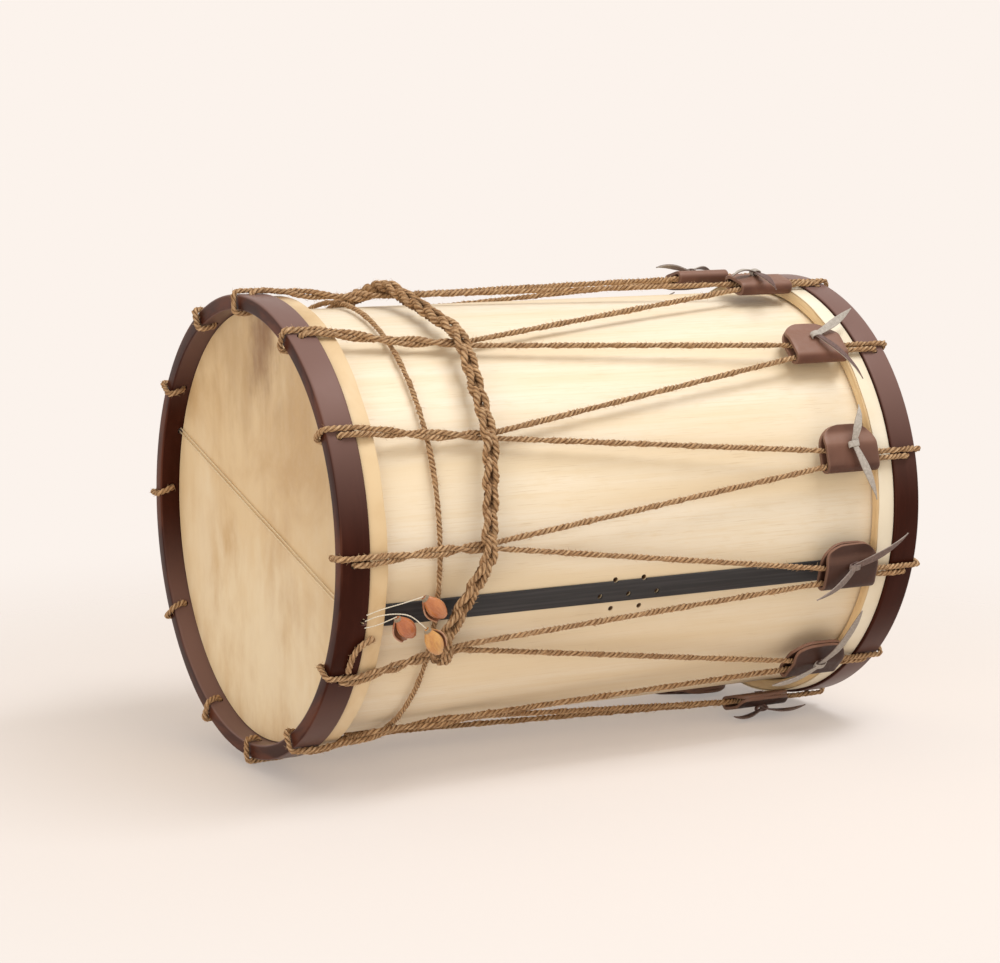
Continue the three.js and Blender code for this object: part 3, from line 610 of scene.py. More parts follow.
def calfskin(name, face_x, pale, deep, spots):
    """Dried calfskin: cloudy tan patches, streaks along the hide's back, pale scrapes and some soft spots,
    stains and painted light and shade.
    """
    material, tree, shader = new_material(name)
    place = object_place(tree)
    marks = use_group(tree, hide_mottle, {"Place": place, "Scale": SKIN_MARK_SCALE})
    streaks = stretched_noise(tree, place, *SKIN_STREAKS)
    scrapes = stretched_noise(tree, place, *SKIN_SCRAPES)
    colour = laid_over(tree, pale, deep, marks["Broad"], *SKIN_PATCH_MARKS)
    colour = laid_over(tree, colour, deep, streaks, *SKIN_STREAK_MARKS)
    colour = laid_over(tree, colour, pale, marks["Fine"], *SKIN_FLECK_MARKS)
    colour = laid_over(tree, colour, pale, scrapes, *SKIN_SCRAPE_MARKS)
    for angle, radius, extents, spot_colour, strength in spots:
        colour = spotted(tree, place, colour, around(face_x, angle, radius), extents, spot_colour, strength)
    set_inputs(tree, shader, {
        "Base Color": colour,
        "Roughness": roughened(tree, marks["Fine"], *SKIN_ROUGHNESS),
        "Specular IOR Level": SKIN_SHINE,
    })
    raise_surface(tree, shader, marks["Fine"], *SKIN_RELIEF)
    return material


skin_outer = SKIN_INNER + SKIN
lap_outer = LAP_INNER + SKIN
for end, side in ends.items():
    skin_profile = rounded([
        (side * HEAD_FACE, skin_outer),
        (side * LAP_FACE, skin_outer),
        (side * LAP_FACE, lap_outer),
        (side * FLESH_BACK, lap_outer),
        (side * FLESH_BACK, LAP_INNER),
        (side * (LAP_FACE - SKIN), LAP_INNER),
        (side * (LAP_FACE - SKIN), SKIN_INNER),
        (side * (HEAD_FACE - SKIN), SKIN_INNER),
    ], SKIN_EASE, SKIN_EASE_STEPS)
    head = turned(f"{end}_skin_head",
                  [(side * HEAD_FACE, 0)] + skin_profile + [(side * (HEAD_FACE - SKIN), 0)])
    for vertex in head.data.vertices:
        trimmed = max(0.0, 1 - (abs(vertex.co.x) / MM - FLESH_BACK) / LAP_TRIM)
        if trimmed > 0:
            turn = math.atan2(vertex.co.y, vertex.co.z - AXIS_HEIGHT)
            wander = 1 + sum(size * math.sin(waves * turn + start) for size, waves, start in LAP_WAVES)
            vertex.co.x += side * LAP_WANDER * MM * wander * min(trimmed, 1.0)
    skin = calfskin(f"{end} calfskin", side * HEAD_FACE, *SKINS[end])
    dress(head, skin, "drum", [f"{end}_head"])

# Counterhoops: bent wooden hoops in dark red-brown satin paint that press the flesh hoops down.
# A drilled hole takes each rope loop, and the front hoop has two more for the snare, the near one slanting.
HOOP_INNER = 154.2
HOOP_OUTER = 165.0
HOOP_END = 236.0
HOOP_WIDTH = 21.4
HOOP_EASE = 1.8
LOOPS = 12
LOOP_STEP = 360 / LOOPS
# Degrees by which each front loop sits off its even place
LOOP_SHIFT = [0, -4, -3.5, -2.5, 1, 5, 2.5, 0, 0, 0, 0, 0]
SEAT_GAP = 0.3
ROPE_RADIUS = 2.15
ROPE_HOLE_INSET = 9.2
ROPE_HOLE = 5.4
ROPE_LEAD = ROPE_RADIUS + SEAT_GAP
STRAND_OFFSET = 2.4
GUT_RADIUS = 0.6
SNARE_NEAR = 255.2
SNARE_FAR = 70.0
SNARE_EXIT_INSET = 19.0
SNARE_HOLE = 5.4
BIT_PAST = 8
PAINT_DEEP = (0.030, 0.0064, 0.0032, 1)
PAINT_RED = (0.041, 0.0096, 0.0054, 1)
PAINT_BRUSHED = (0.056, 0.0148, 0.009, 1)
PAINT_RUBBED = (0.15, 0.05, 0.028, 1)
PAINT_DUST_AND_SHEEN = (0.212, 0.128, 0.113, 1)
PAINT_DUST_AND_SHEEN_ABOVE = 0.92
PAINT_FLOOR_REFLECTION = 0.6
PAINT_BRUSH = ((9.0, 700.0, 700.0), 3.0)
PAINT_CLOUD = ((22.0, 60.0, 60.0), 5.0)
PAINT_CLOUD_MARKS = (0.35, 0.7)
PAINT_BRUSH_MARKS = (0.5, 0.78, 0.35)
PAINT_RUB_MARKS = (0.42, 0.66, 0.0, 0.55)
PAINT_RUB_START = 1.5
PAINT_RUB_FULL = 0.2
PAINT_ROUGHNESS = (0.3, 0.42)
PAINT_SHINE = 0.1
PAINT_SHINE_TINT = (1.0, 0.74, 0.66, 1)
PAINT_RELIEF = (0.12, 0.1)
front_angles = [index * LOOP_STEP + shift for index, shift in enumerate(LOOP_SHIFT)]
rear_angles = [(index + 0.5) * LOOP_STEP for index in range(LOOPS)]
snare_x = -(HEAD_FACE + SEAT_GAP + GUT_RADIUS)

# Thin pale film on what faces up, partly dust and wax and partly a painted sheen of the lamp above, and a
# little on what faces the floor, there a painted reflection of the floor
DUST_AND_SHEEN_UP = (0.0, 0.74)
FLOOR_REFLECTION_DOWN = (-0.4, -0.85)
dust_and_sheen_film, sheen_film_in, sheen_film_out = new_group(
    "dust and sheen film",
    [("Color", COLOUR), ("Dust And Sheen", COLOUR), ("Above", FLOAT), ("Below", FLOAT)],
    [("Color", COLOUR)],
)
film_normal = dust_and_sheen_film.nodes.new("ShaderNodeNewGeometry").outputs["Normal"]
film_facing = add_node(dust_and_sheen_film, "ShaderNodeSeparateXYZ", {"Vector": film_normal}).outputs["Z"]
dust_and_sheen_above = combined(dust_and_sheen_film, "MULTIPLY", between(dust_and_sheen_film, film_facing, *DUST_AND_SHEEN_UP), sheen_film_in["Above"])
floor_reflection_below = combined(dust_and_sheen_film, "MULTIPLY", between(dust_and_sheen_film, film_facing, *FLOOR_REFLECTION_DOWN), sheen_film_in["Below"])
film_share = combined(dust_and_sheen_film, "ADD", dust_and_sheen_above, floor_reflection_below)
set_inputs(dust_and_sheen_film, sheen_film_out, {"Color": mixed(dust_and_sheen_film, film_share, sheen_film_in["Color"], sheen_film_in["Dust And Sheen"])})

hoop_paint, paint_tree, paint_shader = new_material("hoop paint")
paint_place = unrolled(paint_tree)
brush = stretched_noise(paint_tree, paint_place["Round"], *PAINT_BRUSH)
cloud = stretched_noise(paint_tree, paint_place["Round"], *PAINT_CLOUD)
paint_colour = laid_over(paint_tree, PAINT_DEEP, PAINT_RED, cloud, *PAINT_CLOUD_MARKS)
paint_colour = laid_over(paint_tree, paint_colour, PAINT_BRUSHED, brush, *PAINT_BRUSH_MARKS)
hoop_edge = between(paint_tree, combined(paint_tree, "ABSOLUTE", paint_place["Along"], 0.0),
                    (HOOP_END - PAINT_RUB_START) * MM, (HOOP_END - PAINT_RUB_FULL) * MM)
rubbed = combined(paint_tree, "MULTIPLY", hoop_edge, between(paint_tree, cloud, *PAINT_RUB_MARKS))
# The paint's upward faces are paler, partly dust and partly a painted sheen of the lamp; its downward faces
# take a painted reflection of the floor.
filmed_paint = use_group(paint_tree, dust_and_sheen_film, {
    "Color": mixed(paint_tree, rubbed, paint_colour, PAINT_RUBBED),
    "Dust And Sheen": PAINT_DUST_AND_SHEEN,
    "Above": PAINT_DUST_AND_SHEEN_ABOVE,
    "Below": PAINT_FLOOR_REFLECTION,
})
set_inputs(paint_tree, paint_shader, {
    "Base Color": filmed_paint["Color"],
    "Roughness": roughened(paint_tree, cloud, *PAINT_ROUGHNESS),
    "Specular IOR Level": PAINT_SHINE,
    "Specular Tint": PAINT_SHINE_TINT,
})
raise_surface(paint_tree, paint_shader, brush, *PAINT_RELIEF)

bit_low = HOOP_INNER - BIT_PAST
bit_high = HOOP_OUTER + BIT_PAST
hole_turn = arc_angle(STRAND_OFFSET, HOOP_OUTER + ROPE_LEAD)
for end, side in ends.items():
    hoop = turned_hoop(f"{end}_painted_hoop", side * HOOP_END, side * (HOOP_END - HOOP_WIDTH),
                       HOOP_INNER, HOOP_OUTER, HOOP_EASE)
    hole_x = side * (HOOP_END - ROPE_HOLE_INSET)
    bits = []
    for loop_angle in front_angles if end == "front" else rear_angles:
        bits.append(radial_bit(hole_x, loop_angle - hole_turn, bit_low, bit_high, ROPE_HOLE))
    if end == "front":
        bits.append(radial_bit(snare_x, SNARE_FAR, bit_low, bit_high, SNARE_HOLE))
        slope_inside = around(snare_x, SNARE_NEAR, HOOP_INNER)
        slope_outside = around(SNARE_EXIT_INSET - HOOP_END, SNARE_NEAR, HOOP_OUTER)
        slope = (slope_outside - slope_inside) / 2
        bits.append(drill_bit(slope_inside - slope, slope_outside + slope, SNARE_HOLE))
    cut(hoop, bits)
    dress(hoop, hoop_paint, "drum", [f"{end}_counterhoop"])

# Tension rope: one long three-strand jute rope, laced from hoop to hoop through the hoops' holes.
# The strands of each front loop twist round each other, part at the braid and run on through two tugs.
ROPE_PITCH = 12.5
TUG_PITCH = 9.6
RING_STEP = 1.4
TURN_RADIUS = 2.8
LOOP_LEAN = 0.2
CORNER_STEPS = 6
TWIST_STEPS = 12
TWIST_REST = 8.0
TWIST_ROOM = 15.0
# Distance behind the front hoop's end face where each pair is tied, and the degrees it is pulled round
TIE_REACH = [112, 114, 115, 115, 114, 112, 118, 136, 92, 109, 118, 124]
TIE_PULL = [-2, 0, 0, 0, 0, 0, 0, 4, 4, 0.5, -2.5, -4.5]
TIE_TO_SPREAD = 7.0
GIRTH_REACH = 77.0
PAIR_RADIUS = 161.05
PAIR_OFFSET = 1.9
TUG_FRONT = 151.8
TUG_REAR = 196.8
MOUTH_SPREAD = 12.0
STRAND_SHARE = 0.62
STRAND_POINTS = 4
ROPE_SWELL = 120.0
ROPE_FUZZ = 700.0
ROPE_UNEVEN = 0.26
LAY_WANDER = 5.0
LAY_DRIFT = 70.0
FIBRES_PER_METRE = 620
FIBRE_RADIUS = 0.11
FIBRE_LENGTH = 4.0
FIBRE_SIDES = 3
FIBRE_MIDDLE = 0.7
# Least and most of a stray fibre's reach and of its leans, at its root and at its tip
FIBRE_REACH = (0.5, 1.0)
FIBRE_ALONG = (0.5, 1.2)
FIBRE_OUT = (0.3, 0.9)
FIBRE_TIP_ALONG = (0.2, 0.9)
FIBRE_TIP_IN = (0.0, 0.6)
JUTE_LOOK = {"uneven": ROPE_UNEVEN, "fibres": FIBRES_PER_METRE}
JUTE_BROWN = (0.275, 0.14, 0.064, 1)
JUTE_TAN = (0.58, 0.355, 0.185, 1)
JUTE_PALE = (0.68, 0.50, 0.30, 1)
JUTE_DARK = (0.22, 0.12, 0.055, 1)
JUTE_CREST_WEAR_AND_HIGHLIGHT = (0.82, 0.63, 0.41, 1)
JUTE_GROOVE_SHADE = (0.085, 0.041, 0.017, 1)
JUTE_FIBRES = ((130.0, 1500.0, 1500.0), 4.0, 0.6)
JUTE_HAIRS = ((320.0, 3600.0, 3600.0), 2.0)
JUTE_BANDS = ((150.0, 520.0, 520.0), 4.0, 0.65)
JUTE_PATCHES = ((260.0, 800.0, 800.0), 3.0, 0.6)
JUTE_BAND_MARKS = (0.35, 0.68)
JUTE_PALE_MARKS = (0.48, 0.75, 0.75)
JUTE_DARK_MARKS = (0.46, 0.24, 0.8)
JUTE_GROOVE_SHADE_MARKS = (0.35, 1.0, 0.0, 0.92)
JUTE_GROOVE_SHADE_PATCHES = (0.32, 0.6, 0.35, 1.0)
JUTE_CREST_WEAR_AND_HIGHLIGHT_MARKS = (0.3, 0.0, 0.0, 0.54)
JUTE_CREST_PATCHES = (0.4, 0.6)
JUTE_ROUGHNESS = (0.72, 0.95)
JUTE_SHINE = 0.25
JUTE_HAIR_HEIGHT = 0.6
JUTE_RELIEF = (0.9, 0.5)


def marked(tree, name, output="Fac"):
    """Mark that a mesh keeps for its finish."""
    return add_node(tree, "ShaderNodeAttribute", {}, attribute_name=name).outputs[output]


def mark(piece, name, values):
    """Keeps a number at each point of a piece for its finish."""
    piece.data.attributes.new(name, "FLOAT", "POINT").data.foreach_set("value", values)


def mark_places(piece, name, places):
    """Keeps a place at each point of a piece for its finish."""
    parts = [part for place in places for part in place]
    piece.data.attributes.new(name, "FLOAT_VECTOR", "POINT").data.foreach_set("vector", parts)


jute, jute_tree, jute_shader = new_material("jute rope")
rope_groove = marked(jute_tree, "groove")
rope_place = marked(jute_tree, "rope_place", "Vector")
jute_fibres = stretched_noise(jute_tree, rope_place, *JUTE_FIBRES)
jute_hairs = stretched_noise(jute_tree, rope_place, *JUTE_HAIRS)
jute_bands = stretched_noise(jute_tree, rope_place, *JUTE_BANDS)
jute_patches = stretched_noise(jute_tree, rope_place, *JUTE_PATCHES)
jute_colour = laid_over(jute_tree, JUTE_BROWN, JUTE_TAN, jute_bands, *JUTE_BAND_MARKS)
jute_colour = laid_over(jute_tree, jute_colour, JUTE_PALE, jute_fibres, *JUTE_PALE_MARKS)
jute_colour = laid_over(jute_tree, jute_colour, JUTE_DARK, jute_fibres, *JUTE_DARK_MARKS)
# The strands' crests are made paler, partly wear and partly painted highlight, and their grooves darker as
# painted shade; noise patches break both up.
jute_crest_wear_and_highlight = combined(jute_tree, "MULTIPLY", between(jute_tree, rope_groove, *JUTE_CREST_WEAR_AND_HIGHLIGHT_MARKS),
                      between(jute_tree, jute_patches, *JUTE_CREST_PATCHES))
jute_shade = combined(jute_tree, "MULTIPLY", between(jute_tree, rope_groove, *JUTE_GROOVE_SHADE_MARKS),
                      between(jute_tree, jute_patches, *JUTE_GROOVE_SHADE_PATCHES))
jute_colour = mixed(jute_tree, jute_crest_wear_and_highlight, jute_colour, JUTE_CREST_WEAR_AND_HIGHLIGHT)
set_inputs(jute_tree, jute_shader, {
    "Base Color": mixed(jute_tree, jute_shade, jute_colour, JUTE_GROOVE_SHADE),
    "Roughness": roughened(jute_tree, jute_hairs, *JUTE_ROUGHNESS),
    "Specular IOR Level": JUTE_SHINE,
})
hair_height = combined(jute_tree, "MULTIPLY", jute_hairs, JUTE_HAIR_HEIGHT)
raise_surface(jute_tree, jute_shader, combined(jute_tree, "ADD", jute_fibres, hair_height), *JUTE_RELIEF)


def evenly(points, step, closed=False):
    """Points at even steps along a line of points, both its ends kept."""
    line = points + points[:1] if closed else points
    lengths = [0.0]
    for here, there in zip(line, line[1:]):
        lengths.append(lengths[-1] + (there - here).length)
    count = max(2, round(lengths[-1] / (step * MM)))
    spaced = []
    index = 0
    for number in range(count if closed else count + 1):
        target = lengths[-1] * number / count
        while index < len(line) - 2 and lengths[index + 1] < target:
            index += 1
        span = lengths[index + 1] - lengths[index]
        spaced.append(line[index].lerp(line[index + 1], (target - lengths[index]) / span if span else 0.0))
    return spaced


def eased(points, passes, closed=False):
    """Points drawn towards their neighbours, the ends of an open line kept."""
    for _ in range(passes):
        before = points[-1:] + points[:-1]
        after = points[1:] + points[:1]
        moved = [(a + here * 2 + b) / 4 for a, here, b in zip(before, points, after)]
        if not closed:
            moved[0] = points[0]
            moved[-1] = points[-1]
        points = moved
    return points


def side_frames(points, closed=False):
    """Tangent, side and up at each point, carried along without twist."""
    count = len(points)
    frames = []
    up = None
    for index, here in enumerate(points):
        before = points[index - 1] if closed or index else here
        after = points[(index + 1) % count] if closed or index < count - 1 else here
        tangent = (after - before).normalized()
        up = tangent.orthogonal() if up is None else up
        up = (up - tangent * up.dot(tangent)).normalized()
        frames.append((tangent, tangent.cross(up), up))
    return frames


def strand_outline(strands):
    """Turn, radius share and groove depth of each point of a laid rope's section."""
    outline = []
    centre = 1 - STRAND_SHARE
    half = math.pi / strands
    least = centre * math.cos(half) + math.sqrt(STRAND_SHARE ** 2 - (centre * math.sin(half)) ** 2)
    for strand in range(strands):
        for point in range(STRAND_POINTS):
            lean = half * (2 * point / STRAND_POINTS - 1)
            share = centre * math.cos(lean) + math.sqrt(STRAND_SHARE ** 2 - (centre * math.sin(lean)) ** 2)
            outline.append((2 * half * strand + lean, share, (1 - share) / (1 - least)))
    return outline


def stray_fibres(name, rings, count):
    """Points and faces of thin fibres that stand off a rope, and the ring and corner that each grows from."""
    chance = random.Random(name)
    points = []
    faces = []
    roots = []
    for _ in range(count):
        index = chance.randrange(1, len(rings) - 1)
        corner = chance.randrange(len(rings[0]))
        root = rings[index][corner]
        out = (root - sum(rings[index], Vector()) / len(rings[index])).normalized()
        way = (rings[index + 1][corner] - rings[index - 1][corner]).normalized() * chance.choice((-1, 1))
        lean = (way * chance.uniform(*FIBRE_ALONG) + out * chance.uniform(*FIBRE_OUT)).normalized()
        tip_lean = lean + way * chance.uniform(*FIBRE_TIP_ALONG) - out * chance.uniform(*FIBRE_TIP_IN)
        half_reach = FIBRE_LENGTH * MM * chance.uniform(*FIBRE_REACH) / 2
        middle = root + lean * half_reach
        side = lean.orthogonal().normalized() * FIBRE_RADIUS * MM
        first = len(points)
        second = first + FIBRE_SIDES
        for place, size in ((root, 1.0), (middle, FIBRE_MIDDLE)):
            for turn in range(FIBRE_SIDES):
                points.append(place + Matrix.Rotation(math.tau * turn / FIBRE_SIDES, 3, lean) @ side * size)
        points.append(middle + tip_lean.normalized() * half_reach)
        for point in points[first:]:
            point.z = max(point.z, 0.0)
        for turn in range(FIBRE_SIDES):
            after = (turn + 1) % FIBRE_SIDES
            faces.append([first + turn, first + after, second + after, second + turn])
            faces.append([second + turn, second + after, second + FIBRE_SIDES])
        faces.append(list(range(first, second)))
        roots.append((index, corner))
    return points, faces, roots


def laid_rope(name, points, frames, lay, radius, strands=3, closed=False, taper=None, uneven=0.0, fibres=0.0):
    """Rope of twisted strands; its section turns with the lay, and its grooves are marked for the painted
    shade of the finish.
    """
    outline = strand_outline(strands)
    rings = []
    grooves = []
    places = []
    along = 0.0
    for index, (here, (_, side, up)) in enumerate(zip(points, frames)):
        along += (here - points[index - 1]).length if index else 0.0
        size = radius * MM * (taper[index] if taper else 1.0)
        size *= 1 + uneven * noise.noise(here * ROPE_SWELL)
        wander = uneven * LAY_WANDER * noise.noise(here * LAY_DRIFT)
        ring = []
        for turn, share, depth in outline:
            angle = turn + lay[index] + wander
            away = (side * math.cos(angle) + up * math.sin(angle)) * (size * share)
            ring.append(here + away * (1 + uneven * noise.noise((here + away) * ROPE_FUZZ)))
            grooves.append(depth)
            places.append((along, size * math.cos(turn), size * math.sin(turn)))
        rings.append(ring)
    skin, faces = swept_skin(rings, closed)
    length = sum((there - here).length for here, there in zip(points, points[1:]))
    hairs, hair_faces, roots = stray_fibres(name, rings, int(fibres * length))
    for index, corner in roots:
        root_place = places[index * len(outline) + corner]
        places.extend([root_place] * (len(hairs) // len(roots)))
    grooves.extend([0.0] * len(hairs))
    faces += [[corner + len(skin) for corner in face] for face in hair_faces]
    rope = new_piece(name, skin + hairs, faces)
    mark(rope, "groove", grooves)
    mark_places(rope, "rope_place", places)
    return rope


def lay_turns(points, pitches):
    """Turn of a rope's strands at each point, from the pitch of each step between the points."""
    lay = [0.0]
    for here, there, pitch in zip(points, points[1:], pitches):
        lay.append(lay[-1] + 2 * math.pi * (there - here).length / (pitch * MM))
    return lay


def quarter_turn(centre, radius, start):
    """Quarter circle in the plane of the inset from the hoop's end face and the radius."""
    turns = [start + math.pi / 2 * step / CORNER_STEPS for step in range(CORNER_STEPS + 1)]
    return [(centre[0] + radius * math.cos(turn), centre[1] + radius * math.sin(turn)) for turn in turns]


rope_over = HOOP_OUTER + ROPE_LEAD
rope_inside = HOOP_INNER - ROPE_LEAD


def hoop_loop(side, angle):
    """Rope loop at a hoop, from the strand over its end face, down inside it and out through its hole."""
    over_edge = [(HOOP_WIDTH, rope_over)]
    over_edge += quarter_turn((0, HOOP_OUTER), ROPE_LEAD, math.pi / 2)
    over_edge += quarter_turn((0, HOOP_INNER), ROPE_LEAD, math.pi)
    hole_start = (ROPE_HOLE_INSET - TURN_RADIUS, rope_inside + TURN_RADIUS)
    hole_end = (ROPE_HOLE_INSET + TURN_RADIUS, rope_over - TURN_RADIUS)
    through = quarter_turn(hole_start, TURN_RADIUS, -math.pi / 2)
    through += quarter_turn(hole_end, TURN_RADIUS, math.pi / 2)[::-1]
    through.append((HOOP_WIDTH, rope_over))
    inner_turn = len(over_edge) - 1 - CORNER_STEPS
    shares = []
    for index in range(len(over_edge)):
        shares.append(1 + (LOOP_LEAN - 1) * max(index - inner_turn, 0) / CORNER_STEPS)
    shares += [-1] * len(through)
    points = []
    for (inset, radius), share in zip(over_edge + through, shares):
        across = arc_angle(share * STRAND_OFFSET, rope_over)
        points.append(around(side * (HOOP_END - inset), angle + across, radius))
    return points


def pair_tie(index):
    """Place along the drum and angle where a pair is tied."""
    return TIE_REACH[index] - HOOP_END, index * LOOP_STEP + TIE_PULL[index]


def pair_strand(index, strand):
    """One strand of a twisted pair, from the front hoop to where it parts from the other."""
    tie_x, tie_angle = pair_tie(index)
    hoop_x = HOOP_WIDTH - HOOP_END
    girth_x = GIRTH_REACH - HOOP_END
    points = []

    def add_at(x, twist):
        share = min(max((x - hoop_x) / (girth_x - hoop_x), 0), 1)
        radius = rope_over + (PAIR_RADIUS - rope_over) * share
        angle = front_angles[index] + (tie_angle - front_angles[index]) * (x - hoop_x) / (tie_x - hoop_x)
        across = arc_angle(strand * PAIR_OFFSET * math.cos(twist), radius)
        points.append(around(x, angle + across, radius + strand * PAIR_OFFSET * math.sin(twist)))

    def add_twist(start, end, first_twist, half_turns):
        steps = half_turns * TWIST_STEPS
        for step in range(steps + 1):
            add_at(start + (end - start) * step / steps, first_twist + math.pi * step / TWIST_STEPS)

    before_girth = girth_x - TWIST_REST / 2
    after_girth = girth_x + TWIST_REST / 2
    twist_end = tie_x - TWIST_REST
    if twist_end - after_girth < TWIST_ROOM:
        add_twist(-FLESH_BACK, before_girth, 0, 2)
    else:
        add_twist(-FLESH_BACK, before_girth, 0, 1)
        add_twist(after_girth, twist_end, math.pi, 1)
    add_at(tie_x + TIE_TO_SPREAD, 2 * math.pi)
    return points


def spread_strand(index, strand):
    """Mouth and rear end of a tug on the strand that leaves a tie."""
    tie_x, _ = pair_tie(index)
    rear_x = HOOP_END - HOOP_WIDTH
    rear_angle = rear_angles[index if strand > 0 else index - 1]
    places = []
    for x, offset in ((TUG_FRONT, MOUTH_SPREAD / 2), (TUG_REAR, STRAND_OFFSET)):
        radius = PAIR_RADIUS + (rope_over - PAIR_RADIUS) * (x - tie_x) / (rear_x - tie_x)
        places.append(around(x, rear_angle - arc_angle(strand * offset, radius), radius))
    return places


rope_runs = []
for index in range(LOOPS):
    after = (index + 1) % LOOPS
    plus_pair = pair_strand(index, 1)
    front_loop = pair_strand(index, -1)[::-1] + hoop_loop(-1, front_angles[index])[::-1] + plus_pair
    plus_mouth, plus_rear = spread_strand(index, 1)
    minus_mouth, minus_rear = spread_strand(after, -1)
    rear_loop = hoop_loop(1, rear_angles[index])[::-1]
    rope_runs.append(("front", index, front_loop))
    rope_runs.append(("leaving", index, [plus_pair[-1], plus_mouth]))
    rope_runs.append(("rear", index, [plus_mouth, plus_rear] + rear_loop + [minus_rear, minus_mouth]))
    rope_runs.append(("coming", index, [minus_mouth, pair_strand(after, -1)[-1]]))

rope_points = []
run_spans = []
for _, _, knots in rope_runs:
    spaced = evenly(knots, RING_STEP)
    run_spans.append((len(rope_points), len(rope_points) + len(spaced) - 1))
    rope_points.extend(spaced[:-1])
rope_points = eased(rope_points, 1, closed=True)
rope_points.append(rope_points[0])
rope_frames = side_frames(rope_points)
rope_pitches = [TUG_PITCH if TUG_FRONT < point.x / MM < TUG_REAR else ROPE_PITCH for point in rope_points]
rope_lay = lay_turns(rope_points, rope_pitches)

for (kind, index, knots), (start, end) in zip(rope_runs, run_spans):
    span = slice(start, end + 1)
    number = f"{index + 1:02d}"
    run = laid_rope(f"rope_{kind}_{number}", rope_points[span], rope_frames[span], rope_lay[span],
                    ROPE_RADIUS, uneven=ROPE_UNEVEN, fibres=0 if kind == "rear" else FIBRES_PER_METRE)
    if kind == "front":
        dress(run, jute, "drum", [f"tension_rope_{number}"])
    else:
        dress(run, jute)
        mouth = knots[-1] if kind == "leaving" else knots[0]
        if kind == "rear":
            mouth = Vector((TUG_FRONT * MM, mouth.y, mouth.z))
        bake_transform(run)

# Girth rope: a single rope tied round the shell under the pairs, which keeps them off the wood.
# It is the same jute, pulled tight.
GIRTH_RADIUS = 156.45
GIRTH_STEPS = 700
GIRTH_TURNS = 92
GIRTH_ROPE_RADIUS = 1.95

girth_points = []
for step in range(GIRTH_STEPS):
    girth_points.append(around(GIRTH_REACH - HOOP_END, 360 * step / GIRTH_STEPS, GIRTH_RADIUS))
girth_lay = [2 * math.pi * GIRTH_TURNS * step / GIRTH_STEPS for step in range(GIRTH_STEPS)]
girth = laid_rope("girth_rope_ring", girth_points, side_frames(girth_points, closed=True), girth_lay,
                  GIRTH_ROPE_RADIUS, closed=True, **JUTE_LOOK)
dress(girth, jute, "drum", ["girth_rope"])

# Chain braid: the rope's free end looped through itself link by link, laid over the pairs to draw them in.
# It lies on the pairs, runs straight between them and is hitched to a pair at its near end.
BRAID_RADIUS = 168.0
BRAID_FLAT = 2.5
BRAID_FIRST = 5
BRAID_PAIRS = 10
BRAID_END_REACH = 78.0
BRAID_EASING = 8
BRAID_TIP = 0.001
LINK_LENGTH = 17.8
LINK_END_ROOM = 0.5
# Points of one leg of a link and of its way back: share of its length, place across and lift
LINK_LEG = [
    (0.00, 0.9, -2.6), (0.18, 1.2, -1.0), (0.34, 1.7, 1.2), (0.55, 2.1, 2.0), (0.78, 2.9, 1.7),
    (0.98, 3.7, 0.9), (1.16, 3.8, -0.3), (1.32, 3.0, -1.5), (1.42, 1.5, -2.0), (1.46, 0.0, -2.1),
]
LINK_BACK = [(0.35, -0.5, -1.6), (0.70, 0.5, -1.6)]
LINK_SMOOTHING = 4
# How far the links are uneven in width and sway aside, and the pace and row of each drift
LINK_SLACK = 0.1
LINK_SLACK_DRIFT = (0.7, 0.3)
LINK_SWAY = 0.7
LINK_SWAY_DRIFT = (0.9, 5.3)
DRIFT_DEPTH = 0.1
LINK_ROPE_RADIUS = 2.5
LINK_SHADE_TOP = 1.3
LINK_SHADE_DEPTH = 2.4
LINK_SHADE_REACH = 5.0
LINK_CORE_RADIUS = 3.1
LINK_CORE_DEPTH = -2.7
HITCH_PAIR = 8
HITCH_AHEAD = 8
HITCH_LEAN = 0.6
HITCH_LIFT = 1
HITCH_TURNS = 2.2
HITCH_STEPS = 26
HITCH_LENGTH = 9.0
HITCH_ACROSS = 6.8
HITCH_UP = 5.0


def rope_along(name, line, pitch, radius, **look):
    """Rope of an even lay along an open line."""
    lay = lay_turns(line, [pitch] * len(line))
    return laid_rope(name, line, side_frames(line), lay, radius, **look)


def outward(point):
    """Direction away from the drum's axis."""
    return Vector((0, point.y, point.z - AXIS_HEIGHT)).normalized()


def smooth_line(knots, steps):
    """Smooth line through its knots."""
    padded = [knots[0] * 2 - knots[1]] + knots + [knots[-1] * 2 - knots[-2]]
    line = []
    for a, b, c, d in zip(padded, padded[1:], padded[2:], padded[3:]):
        for step in range(steps):
            t = step / steps
            line.append((b * 2 + (c - a) * t + (a * 2 - b * 5 + c * 4 - d) * t ** 2
                         + (b * 3 - a - c * 3 + d) * t ** 3) / 2)
    return line + [knots[-1]]


def drift(number, pace, row):
    """Chance from -1 to 1 that drifts from number to number, in a row of its own."""
    return noise.noise(Vector((number * pace, row, DRIFT_DEPTH)))


braid_knots = []
for step in range(BRAID_PAIRS):
    tie_x, tie_angle = pair_tie((BRAID_FIRST - step) % LOOPS)
    braid_x = BRAID_END_REACH - HOOP_END if step == BRAID_PAIRS - 1 else tie_x
    braid_knots.append(around(braid_x, tie_angle + BRAID_FLAT, BRAID_RADIUS))
    braid_knots.append(around(braid_x, tie_angle - BRAID_FLAT, BRAID_RADIUS))
braid_line = evenly(eased(evenly(braid_knots, RING_STEP), BRAID_EASING), RING_STEP)
braid_step = (braid_line[1] - braid_line[0]).length / MM
braid_length = braid_step * (len(braid_line) - 1)
braid_ways = [tangent for tangent, _, _ in side_frames(braid_line)]


